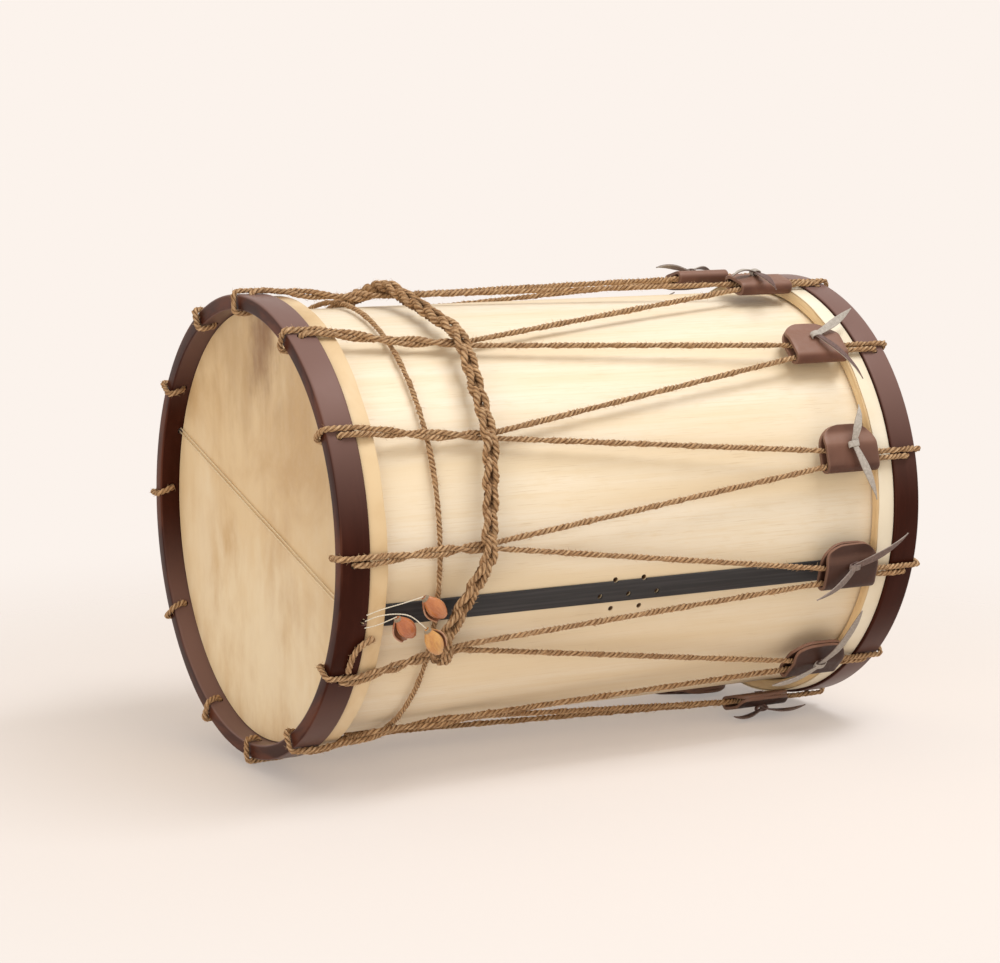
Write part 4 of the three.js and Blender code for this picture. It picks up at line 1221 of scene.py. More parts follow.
def on_braid(along, across, lift):
    """Point beside the braid's middle line: along it, across it and out from the drum, in millimetres."""
    spot = min(max(along / braid_step, 0), len(braid_line) - 1 - BRAID_TIP)
    index = int(spot)
    here = braid_line[index].lerp(braid_line[index + 1], spot - index)
    way = braid_ways[index].lerp(braid_ways[index + 1], spot - index)
    out = outward(here)
    out = (out - way * out.dot(way) / way.length_squared).normalized()
    return here + (way.cross(out).normalized() * across + out * lift) * MM


link_loop = LINK_LEG + [(share, -across, lift) for share, across, lift in LINK_LEG[-2::-1]] + LINK_BACK
chain_knots = []
for link in range(int(braid_length / LINK_LENGTH - LINK_END_ROOM)):
    slack = 1 + LINK_SLACK * drift(link, *LINK_SLACK_DRIFT)
    sway = LINK_SWAY * drift(link, *LINK_SWAY_DRIFT)
    for share, across, lift in link_loop:
        chain_knots.append(on_braid((link + share) * LINK_LENGTH, across * slack + sway, lift))
chain_line = evenly(smooth_line(chain_knots, LINK_SMOOTHING), RING_STEP)
chain = rope_along("chain_of_loops", chain_line, ROPE_PITCH, LINK_ROPE_RADIUS, **JUTE_LOOK)

# Where the chain dips towards the drum near its middle line it is marked as deep as the rope's grooves:
# painted shade in the eyes between the links. A core rope marked wholly as groove fills the eyes with that
# painted shade.
braid_middle = kdtree.KDTree(len(braid_line))
for index, point in enumerate(braid_line):
    braid_middle.insert(point, index)
braid_middle.balance()
for vertex, groove in zip(chain.data.vertices, chain.data.attributes["groove"].data):
    middle, index, _ = braid_middle.find(vertex.co)
    across = (vertex.co - middle).dot(braid_ways[index].cross(outward(middle)).normalized()) / MM
    height = Vector((vertex.co.y, vertex.co.z - AXIS_HEIGHT)).length / MM
    shade = min((BRAID_RADIUS + LINK_SHADE_TOP - height) / LINK_SHADE_DEPTH, 1.0)
    groove.value = max(groove.value, shade * (1 - min(abs(across) / LINK_SHADE_REACH, 1.0)))
dress(chain, jute, "drum", ["chain_braid"])
core_line = []
for step in range(int(braid_length / RING_STEP)):
    core_line.append(on_braid(step * RING_STEP, 0.0, LINK_CORE_DEPTH))
shaded_core = rope_along("chain_core", core_line, ROPE_PITCH, LINK_CORE_RADIUS, uneven=ROPE_UNEVEN)
shaded_core.data.attributes["groove"].data.foreach_set("value", [1.0] * len(shaded_core.data.vertices))
dress(shaded_core, jute, "drum")

along_drum = Vector((1, 0, 0))
hitch_middle = around(BRAID_END_REACH - HOOP_END + HITCH_AHEAD, pair_tie(HITCH_PAIR)[1] - HITCH_LEAN,
                      PAIR_RADIUS + HITCH_LIFT)
hitch_out = outward(hitch_middle)
hitch_side = along_drum.cross(hitch_out).normalized()
hitch_steps = int(HITCH_TURNS * HITCH_STEPS)
hitch_line = []
for step in range(hitch_steps + 1):
    share = step / hitch_steps
    turn = 2 * math.pi * HITCH_TURNS * share
    wound = hitch_side * math.sin(turn) * HITCH_ACROSS - hitch_out * math.cos(turn) * HITCH_UP
    hitch_line.append(hitch_middle + along_drum * ((share - 0.5) * HITCH_LENGTH * MM) + wound * MM)
hitch = rope_along("braid_end_hitch", hitch_line, ROPE_PITCH, ROPE_RADIUS, **JUTE_LOOK)
dress(hitch, jute, "drum")

# Rope tail: the rope's short cut end, laid on the front hoop beside its pair and down over its back edge.
# It is the same jute, its cut end slightly opened.
TAIL_PAIR = 8
TAIL_SMOOTHING = 8
TAIL_END_OPEN = 1.12
TAIL_OPEN_STEPS = 4
# Distance behind the hoop's end face and way round the hoop, point by point
TAIL_ROUTE = [(12, 0), (12.3, 7), (13.5, 14), (16.5, 19.6), (20.5, 22.8), (27, 24)]

tail_start = TAIL_PAIR * LOOP_STEP + arc_angle(STRAND_OFFSET + 2 * ROPE_RADIUS + SEAT_GAP, rope_over)
tail_knots = []
for reach, way in TAIL_ROUTE:
    drop = max(reach - HOOP_WIDTH, 0) / (TAIL_ROUTE[-1][0] - HOOP_WIDTH)
    tail_radius = rope_over + (lap_outer + ROPE_LEAD - rope_over) * drop
    tail_knots.append(around(reach - HOOP_END, tail_start + arc_angle(way, rope_over), tail_radius))
tail_line = evenly(smooth_line(tail_knots, TAIL_SMOOTHING), RING_STEP)
open_from = len(tail_line) - 1 - TAIL_OPEN_STEPS
tail_taper = []
for index in range(len(tail_line)):
    tail_taper.append(1 + (TAIL_END_OPEN - 1) * max(0, (index - open_from) / TAIL_OPEN_STEPS))
tail = rope_along("rope_cut_end", tail_line, ROPE_PITCH, ROPE_RADIUS, taper=tail_taper, **JUTE_LOOK)
dress(tail, jute, "drum", ["rope_tail"])

# Tugs: twelve blanks of thick red-brown leather, each folded round the two strands of a rear loop.
# The fold holds the strands, and a thong through both flaps pinches it shut.
TUG_CENTRE = 174.3
TUG_HALF = 22.5
TUG_RADIUS = 166.76
TUG_LEATHER = 2.4
TUG_LAYERS = [-0.5, -0.42, 0.42, 0.5]
TUG_LAYER_INSET = 0.3
TUG_FLAP_REACH = 24.0
TUG_FLAP_CORNER = 14.0
TUG_FLAP_ROWS = [9.0, 7.0, 4.5, 2.0, -1.0, -3.5]
TUG_CORNER_LENGTH = 16.0
TUG_CORNER_STEPS = 10
TUG_FOLD_CENTRE = -5.7
TUG_FOLD_RADIUS = 4.25
TUG_FOLD_STEPS = 14
TUG_PINCH_START = 7.5
TUG_PINCH_END = 19.0
TUG_PINCH_OUTER = -0.1
TUG_PINCH_INNER = -2.7
TUG_COLUMNS = 14
TUG_WAVE = 0.7
TUG_WAVE_PACE = (0.05, 0.06, 0.05)
TUG_WAVE_APART = 3.7
TUG_WAVE_START = 4
TUG_WAVE_SPAN = 14
TUG_EDGE = 1.4
SLIT_OFFSET = 8.55
# Each tug's share between its darkest and lightest colours is high near the top of the drum and low beneath
# it: mostly painted light and shade, with some tone that differs from tug to tug.
TUG_LIT_AND_SHADED_TINTS = [0.5, 0.3, 0.2, 0.4, 0.1, 0.0, 0.0, 0.05, 0.1, 0.55, 0.95, 0.6]
TUG_MARK_SCALE = 28.0
# Colours of the darkest and of the lightest tug
TUG_DEEP = [(0.031, 0.0118, 0.0073, 1), (0.118, 0.046, 0.029, 1)]
TUG_WARM = [(0.048, 0.019, 0.012, 1), (0.19, 0.08, 0.053, 1)]
TUG_FLECK = (0.125, 0.056, 0.037, 1)
TUG_CUT = (0.21, 0.115, 0.082, 1)
TUG_DUST_AND_SHEEN = (0.26, 0.137, 0.096, 1)
TUG_DUST_AND_SHEEN_ABOVE = 0.75
TUG_CLOUD_MARKS = (0.35, 0.68)
TUG_FLECK_MARKS = (0.52, 0.8, 0.35)
TUG_CUT_MARKS = (0.45, 1.0, 0.75)
TUG_ROUGHNESS = (0.42, 0.58)
TUG_SHINE = 0.3
TUG_CELL_DEPTH = 0.5
TUG_RELIEF = (0.3, 0.25)


def local_place(x, offset, height, angle):
    """Point beside the drum: along it, round it from an angle, and out from its axis, in millimetres."""
    turn = math.radians(angle)
    y = offset * math.cos(turn) + height * math.sin(turn)
    z = height * math.cos(turn) - offset * math.sin(turn)
    return Vector((x * MM, y * MM, z * MM + AXIS_HEIGHT))


def pinched(offset, rest, tight):
    """Height of a flap that comes in towards the other one past the strands."""
    share = min(max((offset - TUG_PINCH_START) / (TUG_PINCH_END - TUG_PINCH_START), 0), 1)
    return rest + (tight - rest) * share * share * (3 - 2 * share)


def tug_rows():
    """Offset, height and half length of each row of the folded blank, from inner to outer flap."""
    flap = []
    for step in range(TUG_CORNER_STEPS, -1, -1):
        turn = math.pi / 2 * step / TUG_CORNER_STEPS
        offset = TUG_FLAP_REACH - TUG_FLAP_CORNER * (1 - math.sin(turn))
        flap.append((offset, TUG_HALF - TUG_CORNER_LENGTH * (1 - math.cos(turn))))
    flap += [(offset, TUG_HALF) for offset in TUG_FLAP_ROWS]
    rows = [(offset, pinched(offset, -TUG_FOLD_RADIUS, TUG_PINCH_INNER), half) for offset, half in flap]
    for step in range(TUG_FOLD_STEPS + 1):
        turn = math.pi * step / TUG_FOLD_STEPS
        offset = TUG_FOLD_CENTRE - TUG_FOLD_RADIUS * math.sin(turn)
        rows.append((offset, -TUG_FOLD_RADIUS * math.cos(turn), TUG_HALF))
    rows += [(offset, pinched(offset, TUG_FOLD_RADIUS, TUG_PINCH_OUTER), half) for offset, half in flap[::-1]]
    return rows


def tug_blank(rows, number):
    """Points of one folded tug, layer by layer, and how near each one is to a cut edge."""
    points = []
    edges = []
    for lift in TUG_LAYERS:
        inset = TUG_LAYER_INSET if lift in (TUG_LAYERS[0], TUG_LAYERS[-1]) else 0.0
        for index, (offset, height, half) in enumerate(rows):
            before = rows[max(index - 1, 0)]
            after = rows[min(index + 1, len(rows) - 1)]
            run = Vector((after[0] - before[0], after[1] - before[1])).normalized()
            out = Vector((-run.y, run.x))
            end_inset = inset if index in (0, len(rows) - 1) else 0.0
            for column in range(TUG_COLUMNS + 1):
                x = (2 * column / TUG_COLUMNS - 1) * (half - inset)
                spot = [size * pace for size, pace in zip((x, offset, height), TUG_WAVE_PACE)]
                spot[0] += number * TUG_WAVE_APART
                wave = noise.noise(Vector(spot)) * TUG_WAVE
                rise = lift * TUG_LEATHER
                rise += wave * min(1.0, max(0.0, (offset - TUG_WAVE_START) / TUG_WAVE_SPAN))
                across = offset + rise * out.x - end_inset * run.x
                points.append((TUG_CENTRE + x, across, height + rise * out.y))
                to_edge = min(half - abs(x), TUG_FLAP_REACH - offset)
                edges.append(max(0.0, 1 - to_edge / TUG_EDGE))
    return points, edges


def tug_faces(row_count):
    """Faces of a tug: its inner side, its outer side and the rim between them."""
    width = TUG_COLUMNS + 1
    layer_size = row_count * width
    last_layer = len(TUG_LAYERS) - 1
    faces = []
    for layer in (0, last_layer):
        for row in range(row_count - 1):
            for column in range(TUG_COLUMNS):
                first = layer * layer_size + row * width + column
                faces.append([first, first + 1, first + width + 1, first + width])
    rim = list(range(width))
    rim += [row * width + TUG_COLUMNS for row in range(1, row_count)]
    rim += [(row_count - 1) * width + column for column in range(TUG_COLUMNS - 1, -1, -1)]
    rim += [row * width for row in range(row_count - 2, 0, -1)]
    for layer in range(last_layer):
        low = layer * layer_size
        for here, there in zip(rim, rim[1:] + rim[:1]):
            faces.append([low + here, low + there, low + layer_size + there, low + layer_size + here])
    return faces


tug_leather, tug_tree, tug_shader = new_material("tug leather")
tug_lit_and_shaded_tint = marked(tug_tree, "tint")
tug_marks = use_group(tug_tree, hide_mottle, {"Place": object_place(tug_tree), "Scale": TUG_MARK_SCALE})
tug_colour = laid_over(tug_tree, mixed(tug_tree, tug_lit_and_shaded_tint, *TUG_DEEP), mixed(tug_tree, tug_lit_and_shaded_tint, *TUG_WARM),
                       tug_marks["Broad"], *TUG_CLOUD_MARKS)
tug_colour = laid_over(tug_tree, tug_colour, TUG_FLECK, tug_marks["Fine"], *TUG_FLECK_MARKS)
# The tugs' upward faces are paler, partly dust and partly a painted sheen of the lamp above.
filmed_leather = use_group(tug_tree, dust_and_sheen_film, {
    "Color": laid_over(tug_tree, tug_colour, TUG_CUT, marked(tug_tree, "cut_edge"), *TUG_CUT_MARKS),
    "Dust And Sheen": TUG_DUST_AND_SHEEN,
    "Above": TUG_DUST_AND_SHEEN_ABOVE,
    "Below": 0.0,
})
set_inputs(tug_tree, tug_shader, {
    "Base Color": filmed_leather["Color"],
    "Roughness": roughened(tug_tree, tug_marks["Fine"], *TUG_ROUGHNESS),
    "Specular IOR Level": TUG_SHINE,
})
tug_cells = combined(tug_tree, "MULTIPLY", tug_marks["Grain"], TUG_CELL_DEPTH)
raise_surface(tug_tree, tug_shader, combined(tug_tree, "SUBTRACT", tug_marks["Fine"], tug_cells), *TUG_RELIEF)

blank_rows = tug_rows()
for index, tug_angle in enumerate(rear_angles):
    number = f"{index + 1:02d}"
    blank_points, blank_edges = tug_blank(blank_rows, index)
    tug_points = []
    for x, offset, height in blank_points:
        tug_points.append(local_place(x, offset, TUG_RADIUS + height, tug_angle))
    tug = new_piece(f"leather_tug_{number}", tug_points, tug_faces(len(blank_rows)))
    mark(tug, "cut_edge", blank_edges)
    mark(tug, "tint", [TUG_LIT_AND_SHADED_TINTS[index]] * len(blank_edges))
    dress(tug, tug_leather, f"tug_{number}", [f"tug_{number}"])

# Thongs: one narrow strap of the same leather through each tug, knotted on the outer flap.
# Its two tapered tails lift off the tug, some with the grey flesh side out, some with the brown grain side.
THONG_WIDTH = 6.2
THONG_THICK = 1.3
THONG_EASE = 0.5
THONG_STEPS = 18
# Tips of each thong's two tails from the slit, along the drum and round it
THONG_TAILS = [
    [(-40, -14), (30, 16)],
    [(34, 22), (18, -38)],
    [(12, 30), (-28, -24)],
    [(36, 20), (-26, -28)],
    [(10, 32), (24, -34)],
    [(34, -12), (-34, -14)],
    [(36, 8), (-32, 10)],
    [(6, 64), (-36, -17)],
    [(42, 24), (-32, -22)],
    [(8, 28), (12, -42)],
    [(42, 22), (18, -46)],
    [(-10, -44), (-30, -14)],
]
# Share of the flesh side on the outer face of each tail, and on the inner faces of each thong
THONG_FLESH_OUT = [
    (0.0, 1.0), (1.0, 0.0), (1.0, 1.0), (1.0, 0.0), (0.0, 1.0), (1.0, 1.0),
    (0.0, 0.0), (0.7, 0.85), (0.1, 0.3), (1.0, 0.9), (1.0, 0.0), (0.0, 1.0),
]
# The seventh thong, under the drum, shows its dark grain side outside and little flesh inside so that it
# reads dark: painted shade beneath the drum.
THONG_FLESH_IN = [1.0] * 6 + [0.15] + [1.0] * 5
THONG_TAPERS = [1.7] * 7 + [4.5] + [1.7] * 4
THONG_TWISTS = [1.0] * 7 + [0.1] + [1.0] * 4
THONG_NECK = 0.62
THONG_FULL = 0.4
THONG_TIP = 0.14
THONG_SWAY = 0.09
BEND_START = Vector((0.4, 0.0, 0.7))
BEND_THONG_PACE = 1.3
BEND_TAIL_PACE = 2.1
THONG_LIFT = 1.6
THONG_STACK = 0.9
THONG_ARCH = 4.2
THONG_ARCH_PART = 0.8
THONG_CURL = 1.5
THONG_TURN = 0.25
THONG_TURN_BENT = 0.9
FLAP_OVERHANG = 30
FLAP_DROOP = 0.12
KNOT_STEPS = 24
KNOT_TURNS = 1.15
KNOT_START = 0.4
KNOT_ALONG = 3.8
KNOT_SKEW = 0.6
KNOT_LIFT = 1.5
KNOT_HEIGHT = 2.3
KNOT_LEAN = 0.8
KNOT_LENGTH = 1.6
KNOT_NARROW = 0.72
STEM_BELOW = 0.8
STEM_ABOVE = 1.2
STEM_HEAD = 1.3
STEM_FLESH = 0.2
THONG_MARK_SCALE = 70.0
THONG_GRAIN = [(0.075, 0.034, 0.028, 1), (0.15, 0.078, 0.063, 1)]
THONG_FLESH = [(0.36, 0.325, 0.29, 1), (0.50, 0.465, 0.425, 1)]
THONG_GRAIN_MARKS = (0.35, 0.7)
THONG_FLESH_MARKS = (0.32, 0.7)
THONG_ROUGHNESS = (0.0, 1.0, 0.5, 0.85)
THONG_RELIEF = (0.5, 0.3)

thong_leather, thong_tree, thong_shader = new_material("thong leather")
thong_side = marked(thong_tree, "flesh_side")
thong_marks = use_group(thong_tree, hide_mottle, {
    "Place": object_place(thong_tree), "Scale": THONG_MARK_SCALE,
})
thong_grain = laid_over(thong_tree, *THONG_GRAIN, thong_marks["Fine"], *THONG_GRAIN_MARKS)
thong_flesh = laid_over(thong_tree, *THONG_FLESH, thong_marks["Fine"], *THONG_FLESH_MARKS)
set_inputs(thong_tree, thong_shader, {
    "Base Color": mixed(thong_tree, thong_side, thong_grain, thong_flesh),
    "Roughness": between(thong_tree, thong_side, *THONG_ROUGHNESS),
})
raise_surface(thong_tree, thong_shader, thong_marks["Fine"], *THONG_RELIEF)


def strap_ring(place, side, up, width, thick):
    """Ring of a flat strap with eased corners."""
    half = width / 2
    rise = thick / 2
    ease = min(rise, half) * THONG_EASE
    corners = [
        (-half + ease, rise), (half - ease, rise), (half, rise - ease), (half, ease - rise),
        (half - ease, -rise), (-half + ease, -rise), (-half, ease - rise), (-half, rise - ease),
    ]
    return [place + (side * across + up * lift) * MM for across, lift in corners]


def strap(name, line, ups, widths, outer_flesh, inner_flesh):
    """Strap along a line with given outward directions and widths; each side is marked as flesh or grain."""
    rings = []
    for index, here in enumerate(line):
        before = line[max(index - 1, 0)]
        after = line[min(index + 1, len(line) - 1)]
        way = (after - before).normalized()
        up = (ups[index] - way * ups[index].dot(way)).normalized()
        ring = strap_ring(here, up.cross(way), up, widths[index], min(THONG_THICK, widths[index]))
        lift = Vector((0, 0, max(0.0, -min(point.z for point in ring))))
        rings.append([point + lift for point in ring])
    piece = swept(name, rings)
    mark(piece, "flesh_side", ([outer_flesh] * 3 + [inner_flesh] * 4 + [outer_flesh]) * len(rings))
    return piece


flap_top = TUG_RADIUS + pinched(SLIT_OFFSET, TUG_FOLD_RADIUS, TUG_PINCH_OUTER) + TUG_LEATHER / 2
flap_bottom = TUG_RADIUS + pinched(SLIT_OFFSET, -TUG_FOLD_RADIUS, TUG_PINCH_INNER) - TUG_LEATHER / 2
stem_heights = [
    flap_bottom - STEM_BELOW, flap_bottom, (flap_bottom + flap_top) / 2, flap_top, flap_top + STEM_ABOVE,
]
for index, thong_angle in enumerate(rear_angles):
    number = f"{index + 1:02d}"
    body = f"tug_{number}"
    out = local_place(0, 0, 1 / MM, thong_angle) - local_place(0, 0, 0, thong_angle)
    round_way = local_place(0, 1 / MM, 0, thong_angle) - local_place(0, 0, 0, thong_angle)
    for tail, (tip_x, tip_round) in enumerate(THONG_TAILS[index]):
        length = math.hypot(tip_x, tip_round)
        side_way = (along_drum * -tip_round + round_way * tip_x).normalized()
        bend = noise.noise(BEND_START + Vector((index * BEND_THONG_PACE, tail * BEND_TAIL_PACE, 0)))
        turn = THONG_TWISTS[index] * (THONG_TURN + THONG_TURN_BENT * abs(bend)) * (1 if bend > 0 else -1)
        line = []
        ups = []
        widths = []
        for step in range(THONG_STEPS + 1):
            share = step / THONG_STEPS
            sway = math.sin(math.pi * share) * bend * THONG_SWAY * length
            x = TUG_CENTRE + tip_x * share - tip_round / length * sway
            offset = SLIT_OFFSET + tip_round * share + tip_x / length * sway
            height = flap_top + THONG_LIFT + tail * THONG_STACK + THONG_CURL * bend * share
            height += THONG_ARCH * math.sin(math.pi * min(share * THONG_ARCH_PART, 1))
            height -= max(0.0, abs(offset) - FLAP_OVERHANG) * FLAP_DROOP
            place = local_place(x, offset, height, thong_angle)
            place.z = max(place.z, THONG_THICK * MM)
            line.append(place)
            ups.append(out * math.cos(turn * share) + side_way * math.sin(turn * share))
            if share < THONG_FULL:
                taper = min(1.0, THONG_NECK + share)
            else:
                past_full = (share - THONG_FULL) / (1 - THONG_FULL)
                taper = max(THONG_TIP, 1 - past_full ** THONG_TAPERS[index])
            widths.append(THONG_WIDTH * taper)
        flesh = THONG_FLESH_OUT[index][tail]
        tail_strap = strap(f"thong_tail_{number}_{tail + 1}", line, ups, widths, flesh,
                           THONG_FLESH_IN[index] * (1 - flesh))
        dress(tail_strap, thong_leather, body, [f"thong_{number}"] if tail == 0 else ())
    knot_line = []
    knot_ups = []
    for step in range(KNOT_STEPS + 1):
        share = step / KNOT_STEPS
        turn = 2 * math.pi * share * KNOT_TURNS - KNOT_START
        x = TUG_CENTRE + KNOT_ALONG * math.cos(turn) + KNOT_SKEW * math.sin(2 * turn)
        height = flap_top + KNOT_LIFT + KNOT_HEIGHT * math.sin(turn)
        offset = SLIT_OFFSET + KNOT_LEAN * math.sin(turn + 1) + KNOT_LENGTH * (share - 0.5)
        knot_place = local_place(x, offset, height, thong_angle)
        knot_place.z = max(knot_place.z, THONG_WIDTH / 2 * MM)
        knot_line.append(knot_place)
        knot_ups.append((out * math.sin(turn) + along_drum * math.cos(turn)).normalized())
    knot_widths = [THONG_WIDTH * KNOT_NARROW] * len(knot_line)
    knot = strap(f"thong_knot_{number}", knot_line, knot_ups, knot_widths, max(THONG_FLESH_OUT[index]), 0.0)
    dress(knot, thong_leather, body)
    stem_line = [local_place(TUG_CENTRE, SLIT_OFFSET, height, thong_angle) for height in stem_heights]
    stem_widths = [THONG_WIDTH * STEM_HEAD] + [THONG_WIDTH] * (len(stem_line) - 1)
    stem = strap(f"thong_stem_{number}", stem_line, [round_way] * len(stem_line), stem_widths,
                 STEM_FLESH, STEM_FLESH)
    dress(stem, thong_leather, body)

# Snare: one length of twisted gut doubled across the front head, close over the skin.
# Its bight sits in the hoop's far hole, and its two ends go out through the near one.
GUT_SPREAD = 3.2
GUT_PITCH = 5.0
GUT_STEP = 1.0
GUT_STRANDS = 2
BIGHT_STEPS = 8
GUT_DEEP = (0.86, 0.69, 0.44, 1)
GUT_PALE = (0.94, 0.82, 0.60, 1)
GUT_GROOVE_SHADE = (0.52, 0.34, 0.15, 1)
GUT_CLOUD = ((40.0, 900.0, 900.0), 3.0)
GUT_CLOUD_MARKS = (0.35, 0.7)
GUT_GROOVE_SHADE_MARKS = (0.5, 1.0, 0.5)
GUT_ROUGHNESS = (0.3, 0.45)
GUT_RELIEF = (0.2, 0.1)

gut, gut_tree, gut_shader = new_material("twisted gut")
gut_cloud = stretched_noise(gut_tree, marked(gut_tree, "rope_place", "Vector"), *GUT_CLOUD)
gut_colour = laid_over(gut_tree, GUT_DEEP, GUT_PALE, gut_cloud, *GUT_CLOUD_MARKS)
# The gut is painted darker in the groove between its strands: painted shade.
set_inputs(gut_tree, gut_shader, {
    "Base Color": laid_over(gut_tree, gut_colour, GUT_GROOVE_SHADE, marked(gut_tree, "groove"), *GUT_GROOVE_SHADE_MARKS),
    "Roughness": roughened(gut_tree, gut_cloud, *GUT_ROUGHNESS),
})
raise_surface(gut_tree, gut_shader, gut_cloud, *GUT_RELIEF)

near_places = [
    around(SNARE_EXIT_INSET - HOOP_END, SNARE_NEAR, HOOP_OUTER - 2 * GUT_RADIUS),
    around(snare_x, SNARE_NEAR, HOOP_INNER),
]
far_place = around(snare_x, SNARE_FAR, (HOOP_INNER + HOOP_OUTER) / 2)
snare_way = (far_place - near_places[1]).normalized()
snare_side = along_drum.cross(snare_way) * (GUT_SPREAD / 2 * MM)
bight = []
for step in range(BIGHT_STEPS + 1):
    turn = math.pi * step / BIGHT_STEPS
    bight.append(far_place + snare_side * math.cos(turn) + snare_way * (GUT_SPREAD / 2 * MM * math.sin(turn)))
snare_knots = [place + snare_side for place in near_places] + bight
snare_knots += [place - snare_side for place in near_places[::-1]]
snare_line = eased(evenly(snare_knots, GUT_STEP), 1)
snare = rope_along("snare_twisted_gut", snare_line, GUT_PITCH, GUT_RADIUS, strands=GUT_STRANDS)
dress(snare, gut, "drum", ["snare_gut"])

# Jingle strings: three thin white gut ends that come out of the hoop's near hole, stiff enough to stand off.
# Each one holds a seed shell by a few turns of grey-brown thread.
STRING_RADIUS = 0.45
STRING_PITCH = 3.4
STRING_STEP = 0.8
STRING_SMOOTHING = 10
STRING_PALE = (0.88, 0.83, 0.72, 1)
STRING_DEEP = (0.70, 0.62, 0.48, 1)
THREAD_FUZZ = ((500.0, 2500.0, 2500.0), 3.0)
THREAD_FUZZ_MARKS = (0.35, 0.7)
THREAD_GROOVE_SHADE_MARKS = (0.4, 1.0, 0.6)
THREAD_ROUGHNESS = (0.5, 0.7)
THREAD_RELIEF = (0.3, 0.1)

# Route of each string and tip of its seed shell, each point by its distance behind the hoop's end face,
# its angle and its height over the drum's shell
JINGLES = [
    ([(19.6, 257, 13.2), (30, 258.4, 15.2), (46, 259.4, 15), (60, 260.4, 14.6)], (75, 255.4, 16)),
    ([(19.2, 253.8, 13.2), (26, 254.6, 15.6), (34, 255.5, 16), (41, 256.2, 15.4)], (50, 250.2, 14)),
    ([(19.4, 255.4, 12.4), (27, 256.9, 16), (38, 257.5, 19), (48, 257, 22), (59, 254.2, 25)],
     (71.5, 248.8, 26.5)),
]


def thread_finish(name, pale, deep):
    """Twisted thread, painted darker in its groove as painted shade."""
    material, tree, shader = new_material(name)
    fuzz = stretched_noise(tree, marked(tree, "rope_place", "Vector"), *THREAD_FUZZ)
    colour = laid_over(tree, pale, deep, fuzz, *THREAD_FUZZ_MARKS)
    set_inputs(tree, shader, {
        "Base Color": laid_over(tree, colour, deep, marked(tree, "groove"), *THREAD_GROOVE_SHADE_MARKS),
        "Roughness": roughened(tree, fuzz, *THREAD_ROUGHNESS),
    })
    raise_surface(tree, shader, fuzz, *THREAD_RELIEF)
    return material


def over_shell(reach, angle, height):
    """Point given by its distance behind the hoop's end face, angle and height over the shell."""
    return around(reach - HOOP_END, angle, SHELL_RADIUS + height)


string_gut = thread_finish("string gut", STRING_PALE, STRING_DEEP)
jingle_places = []
for number, (string_places, tip_place) in enumerate(JINGLES, 1):
    string_knots = [over_shell(*place) for place in string_places]
    string_line = evenly(smooth_line(string_knots, STRING_SMOOTHING), STRING_STEP)
    string = rope_along(f"jingle_gut_end_{number}", string_line, STRING_PITCH, STRING_RADIUS,
                        strands=GUT_STRANDS)
    dress(string, string_gut, f"jingle_{number}", [f"jingle_string_{number}"])
    jingle_places.append((string_line[-1], over_shell(*tip_place)))

# Seed shells: glossy orange-brown pods, emptied and split from the tip, that rattle as the drum is played.
# The two halves hold together at the top, where the binding thread goes round them.
POD_LENGTH = 22.0
POD_WIDTH = 12.6
POD_FLATNESS = 0.75
POD_WALL = 1.2
POD_WALL_PART = 0.6
POD_ROWS = 22
POD_COLUMNS = 18
POD_OPEN_START = 0.34
POD_OPEN = 0.3
POD_OPEN_POWER = 0.7
POD_GAPE = 0.5
POD_LIP_COLUMNS = 2
POD_SWELL_START = 0.08
POD_SWELL_SPAN = 0.79
POD_SWELL_POWER = 1.15
# Degrees by which the halves of each pod turn aside
POD_SPLAYS = [{"outer": 3, "inner": -9}, {"outer": 16, "inner": -2}, {"outer": -4, "inner": 9}]
POD_TINTS = [0.15, 0.0, 0.9]
POD_FACINGS = {"outer": 1, "inner": -1}
BINDING_RADIUS = 2.0
BINDING_THREAD = 0.55
BINDING_STEPS = 24
BINDING_TURNS = 2.5
BINDING_TOP = 0.3
BINDING_RISE = 0.75
BINDING_SPREAD = 0.12
BINDING_PALE = (0.42, 0.35, 0.26, 1)
BINDING_DEEP = (0.24, 0.18, 0.12, 1)
SEED_MARK_SCALE = 95.0
# Colours of the reddest and of the palest pod
SEED_RED = [(0.40, 0.12, 0.044, 1), (0.54, 0.255, 0.075, 1)]
SEED_ORANGE = [(0.50, 0.17, 0.064, 1), (0.65, 0.36, 0.108, 1)]
SEED_STREAK = (0.29, 0.08, 0.033, 1)
SEED_LIP = (0.72, 0.46, 0.31, 1)
SEED_INSIDE = (0.24, 0.095, 0.045, 1)
SEED_STREAKS = ((700.0, 90.0, 700.0), 3.0)
SEED_CLOUD_MARKS = (0.35, 0.65)
SEED_STREAK_MARKS = (0.5, 0.75, 0.45)
SEED_LIP_MARKS = (0.3, 1.0, 0.7)
SEED_ROUGHNESS = (0.22, 0.36)
SEED_COAT = 0.3
SEED_RELIEF = (0.2, 0.2)

